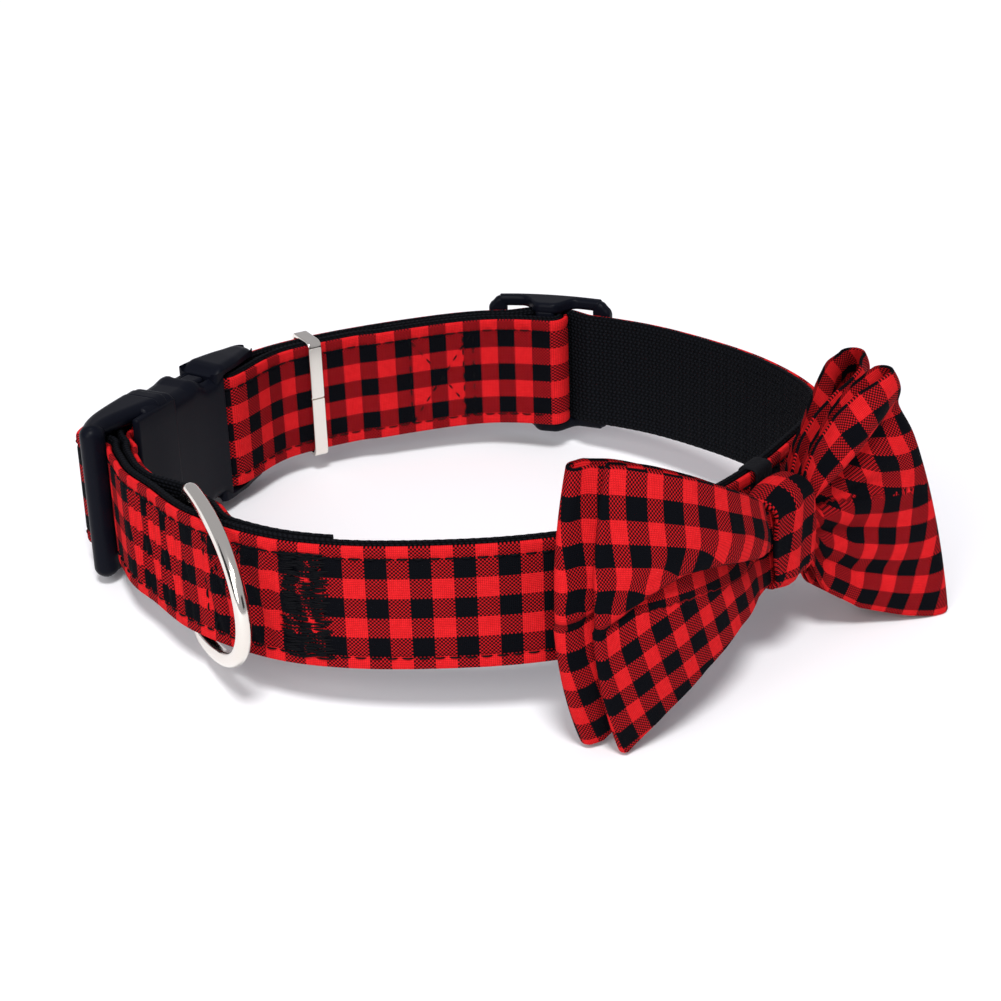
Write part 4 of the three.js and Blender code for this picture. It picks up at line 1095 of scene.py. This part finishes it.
def right_fold(share, level):
    """The same for the right wing: a rounded pleat along the upper edge, a valley under it and
    three short creases that run out of the knot."""
    line, depth = table_at(RIGHT_FOLD, share)
    x = level - line
    stand = depth * (0.9 * np.exp(-(((x - 0.3) / 0.2) ** 2)) - 0.8 * np.exp(-((x / 0.14) ** 2)))
    for start, end, deep in RIGHT_CREASES:
        crease = start + (end - start) * share
        stand -= deep * np.exp(-(((level - crease) / CREASE_HALF) ** 2)) * over_span(share, CREASE_SPAN)
    return stand, np.zeros_like(stand), x


def bow_layer(name, middle, left_rows, right_rows, spread, fold_share, tall):
    """One tube of cloth. Its middle runs in plan through the rows, (share of the wing's length,
    share of it that it stands off the strap); each sheet is spread from the middle, raised by the
    wing's height and folded. The cloth map, in millimetres, is measured from the lower edge below
    the fold and from the upper edge above it."""
    left = np.array(left_rows) * (-1, -1) * BOW_LEFT - (0, middle)
    right = np.array(right_rows) * (1, -1) * BOW_RIGHT - (0, middle)
    line = smooth_line(np.concatenate([left[::-1], [(0, -middle)], right]))
    walked = lengths_along(line)
    at = read_line(line, walked, np.linspace(0, walked[-1], STATIONS))
    along = np.gradient(at, axis=0)
    along /= np.linalg.norm(along, axis=1, keepdims=True)

    # Once round the tube, from the middle of its back sheet: out to the left end, back along the
    # front sheet, round the right end and home.
    half, last = STATIONS // 2, STATIONS - 1
    end_turn = np.radians(np.linspace(80, -80, END_STEPS))
    order = np.concatenate([
        np.arange(half, -1, -1), np.full(END_STEPS, 0), np.arange(STATIONS), np.full(END_STEPS, last),
        np.arange(last, half, -1),
    ])
    turn = np.concatenate([
        np.full(half + 1, -np.pi / 2), np.pi + end_turn, np.full(STATIONS, np.pi / 2), end_turn,
        np.full(last - half, -np.pi / 2),
    ])
    at, along = at[order], along[order]
    side = np.stack([along[:, 1], -along[:, 0]], axis=1)
    away = along * np.cos(turn)[:, None] + side * np.sin(turn)[:, None]
    leftward = at[:, 0] < 0
    wing = np.where(leftward, BOW_LEFT, BOW_RIGHT)
    share = np.clip((np.abs(at[:, 0]) - GATHER_START) / (wing - GATHER_START), 0, 1)
    half_gap = LAYER_STEP / 2 + spread * ease(share, 0.15, 0.9) * np.where(leftward, 0.5, 1.0)
    half_gap = half_gap * (1 - 0.35 * ease(share, 0.85, 1.0))

    # Each row's section: up the outer side, over the top edge, down the inner side and under, its
    # points crowded toward the fold's line.
    valley = np.where(leftward, table_at(LEFT_FOLD, share)[0], table_at(RIGHT_FOLD, share)[0])[:, None]
    way = np.linspace(0, 1, FOLD_STEPS) ** FOLD_CROWD
    level = np.concatenate([valley + (-1 - valley) * way[::-1], valley + (1 - valley) * way[1:]], axis=1)
    columns = level.shape[1]
    top_edge = np.ones((len(level), 3))
    level = np.concatenate([level, top_edge, level[:, ::-1], -top_edge], axis=1)
    edge_off, edge_up = np.array([0.35, 0.0, -0.35]), np.array([0.6, 0.9, 0.6])
    thick = np.concatenate([np.full(columns, 0.5), edge_off, np.full(columns, -0.5), -edge_off]) * BOW_CLOTH
    lip = np.concatenate([np.zeros(columns), edge_up, np.zeros(columns), -edge_up]) * BOW_CLOTH / 2

    share, leftward = share[:, None], leftward[:, None]
    both_folds = zip(left_fold(share, level), right_fold(share, level))
    stand, drop, into = [np.where(leftward, a, b) for a, b in both_folds]
    height = wing_height(share, level, leftward) * tall
    bulge = np.where(leftward, LEFT_BULGE, RIGHT_BULGE) * (1 - level**2) * share
    left_reach = -bulge + LEFT_SLANT * (level + 0.2) * share
    right_reach = bulge - RIGHT_SLANT * level * share
    lift = np.where(leftward, LEFT_WING_LIFT, RIGHT_WING_LIFT) * ease(share, 0, 0.9)
    off, stand = (half_gap[:, None] + thick)[..., None], (stand * fold_share)[..., None]
    grid = np.empty((*level.shape, 3))
    grid[..., :2] = at[:, None] + away[:, None] * off + side[:, None] * stand
    grid[..., 0] += np.where(leftward, left_reach, right_reach)
    grid[..., 1] += np.where(leftward, LEFT_TWIST, RIGHT_TWIST) * level * ease(share, 0, 1)
    grid[..., 2] = height * level + lip + drop * fold_share + lift

    taper = 1 - TAPER + TAPER * share
    from_top = BOW_HALF_HEIGHT - (1 - level) * height / taper
    from_bottom = -BOW_HALF_HEIGHT + (1 + level) * height / taper + LEFT_MAP_RISE * (1 - share) * leftward
    across = from_bottom + (from_top - from_bottom) * ease(into, *MAP_JUMP)
    length = np.cumsum(np.linalg.norm(np.diff(grid, axis=0, prepend=grid[:1]), axis=2), axis=0)
    front_middle = half + 1 + END_STEPS + half
    stretch = np.where(leftward, LEFT_STRETCH, RIGHT_STRETCH)
    sheared = LEFT_MAP_SHEAR * np.minimum(into, 0) * height * ease(share, 0, 0.3)
    shear = np.where(leftward, sheared, 0.0)
    uv = np.stack([(length - length[front_middle]) * stretch + shear, across], axis=-1)
    whole = length[-1:] + np.linalg.norm(grid[:1] - grid[-1:], axis=2)
    closing = uv[:1] + (whole * RIGHT_STRETCH)[..., None] * (1, 0)
    return skin(name, on_bow(grid), np.concatenate([uv, closing]), ring=True)


bow_rear = bow_layer(
    "bow_rear_cloth", REAR_MIDDLE,
    [(0.19, 0.0), (0.42, 0.005), (0.72, -0.075), (1.04, -0.26)],
    [(0.17, 0.0), (0.29, 0.0), (0.48, 0.05), (0.74, 0.1), (1.0, 0.12)],
    spread=3.0, fold_share=0.7, tall=REAR_LOWER,
)
bow_front = bow_layer(
    "bow_front_cloth", FRONT_MIDDLE,
    [(0.19, 0.0), (0.42, 0.035), (0.72, -0.02), (1.0, -0.17)],
    [(0.16, 0.0), (0.25, 0.01), (0.43, 0.085), (0.66, 0.175), (0.9, 0.27)],
    spread=1.4, fold_share=1.0, tall=1.0,
)
bow_cotton = checked_cotton("checked_bow", BOW_SHIFT, BOW_BLACK_SHARE)
for cloth, node in ((bow_rear, "bow_rear"), (bow_front, "bow_front")):
    cloth.data.materials.append(bow_cotton)
    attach(cloth, "collar")
    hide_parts(node)

# The knot: a soft band of the check, folded round the gather and the elastic, full in the middle
# and creased where it is pulled in.
KNOT_WIDTH = 13.5
KNOT_HALF_HEIGHT = 9.6
KNOT_CLOTH = 1.2
KNOT_BACK = 2.8
KNOT_ROOM = 0.6
KNOT_CORNER = 2.6
KNOT_BULGE = 1.0
KNOT_CREASE = 0.35
KNOT_FLARE = 0.06
KNOT_MAP_SHEAR = 0.25
knot_low = KNOT_BACK - KNOT_CLOTH / 2
knot_high = FRONT_MIDDLE + LAYER_STEP + BOW_CLOTH / 2 + KNOT_ROOM
knot_path = box_outline(
    knot_low, knot_high + KNOT_CLOTH / 2, KNOT_HALF_HEIGHT - KNOT_CLOTH / 2, KNOT_CORNER, 30
)
knot_grid = hoop(knot_path, KNOT_CLOTH, KNOT_WIDTH, 0.55, KNOT_BULGE)
knot_walk = lengths_along(knot_path)[:, None]
knot_crease = KNOT_CREASE * np.sin(knot_grid[..., 1] * 0.9 + 0.12 * knot_grid[..., 2])
knot_grid[..., 0] += knot_crease * (knot_grid[..., 0] > knot_high - 1)
knot_grid[..., 1] *= 1 + KNOT_FLARE * np.cos(knot_grid[..., 2] * 0.35)
knot_along = knot_grid[..., 1] + KNOT_MAP_SHEAR * knot_grid[..., 2]
knot_uv = np.stack([knot_along, np.broadcast_to(knot_walk, knot_along.shape)], axis=-1)
knot_points = np.stack([-knot_grid[..., 1], -knot_grid[..., 0], knot_grid[..., 2]], axis=-1)
knot_close = knot_uv[:1] + (0, np.linalg.norm(knot_path[0] - knot_path[-1]) + knot_walk[-1, 0])
knot = skin("knot_band", on_bow(knot_points), np.concatenate([knot_uv, knot_close]), ring=True)
knot.data.materials.append(bow_cotton)
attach(knot, "collar")
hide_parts("bow_knot")
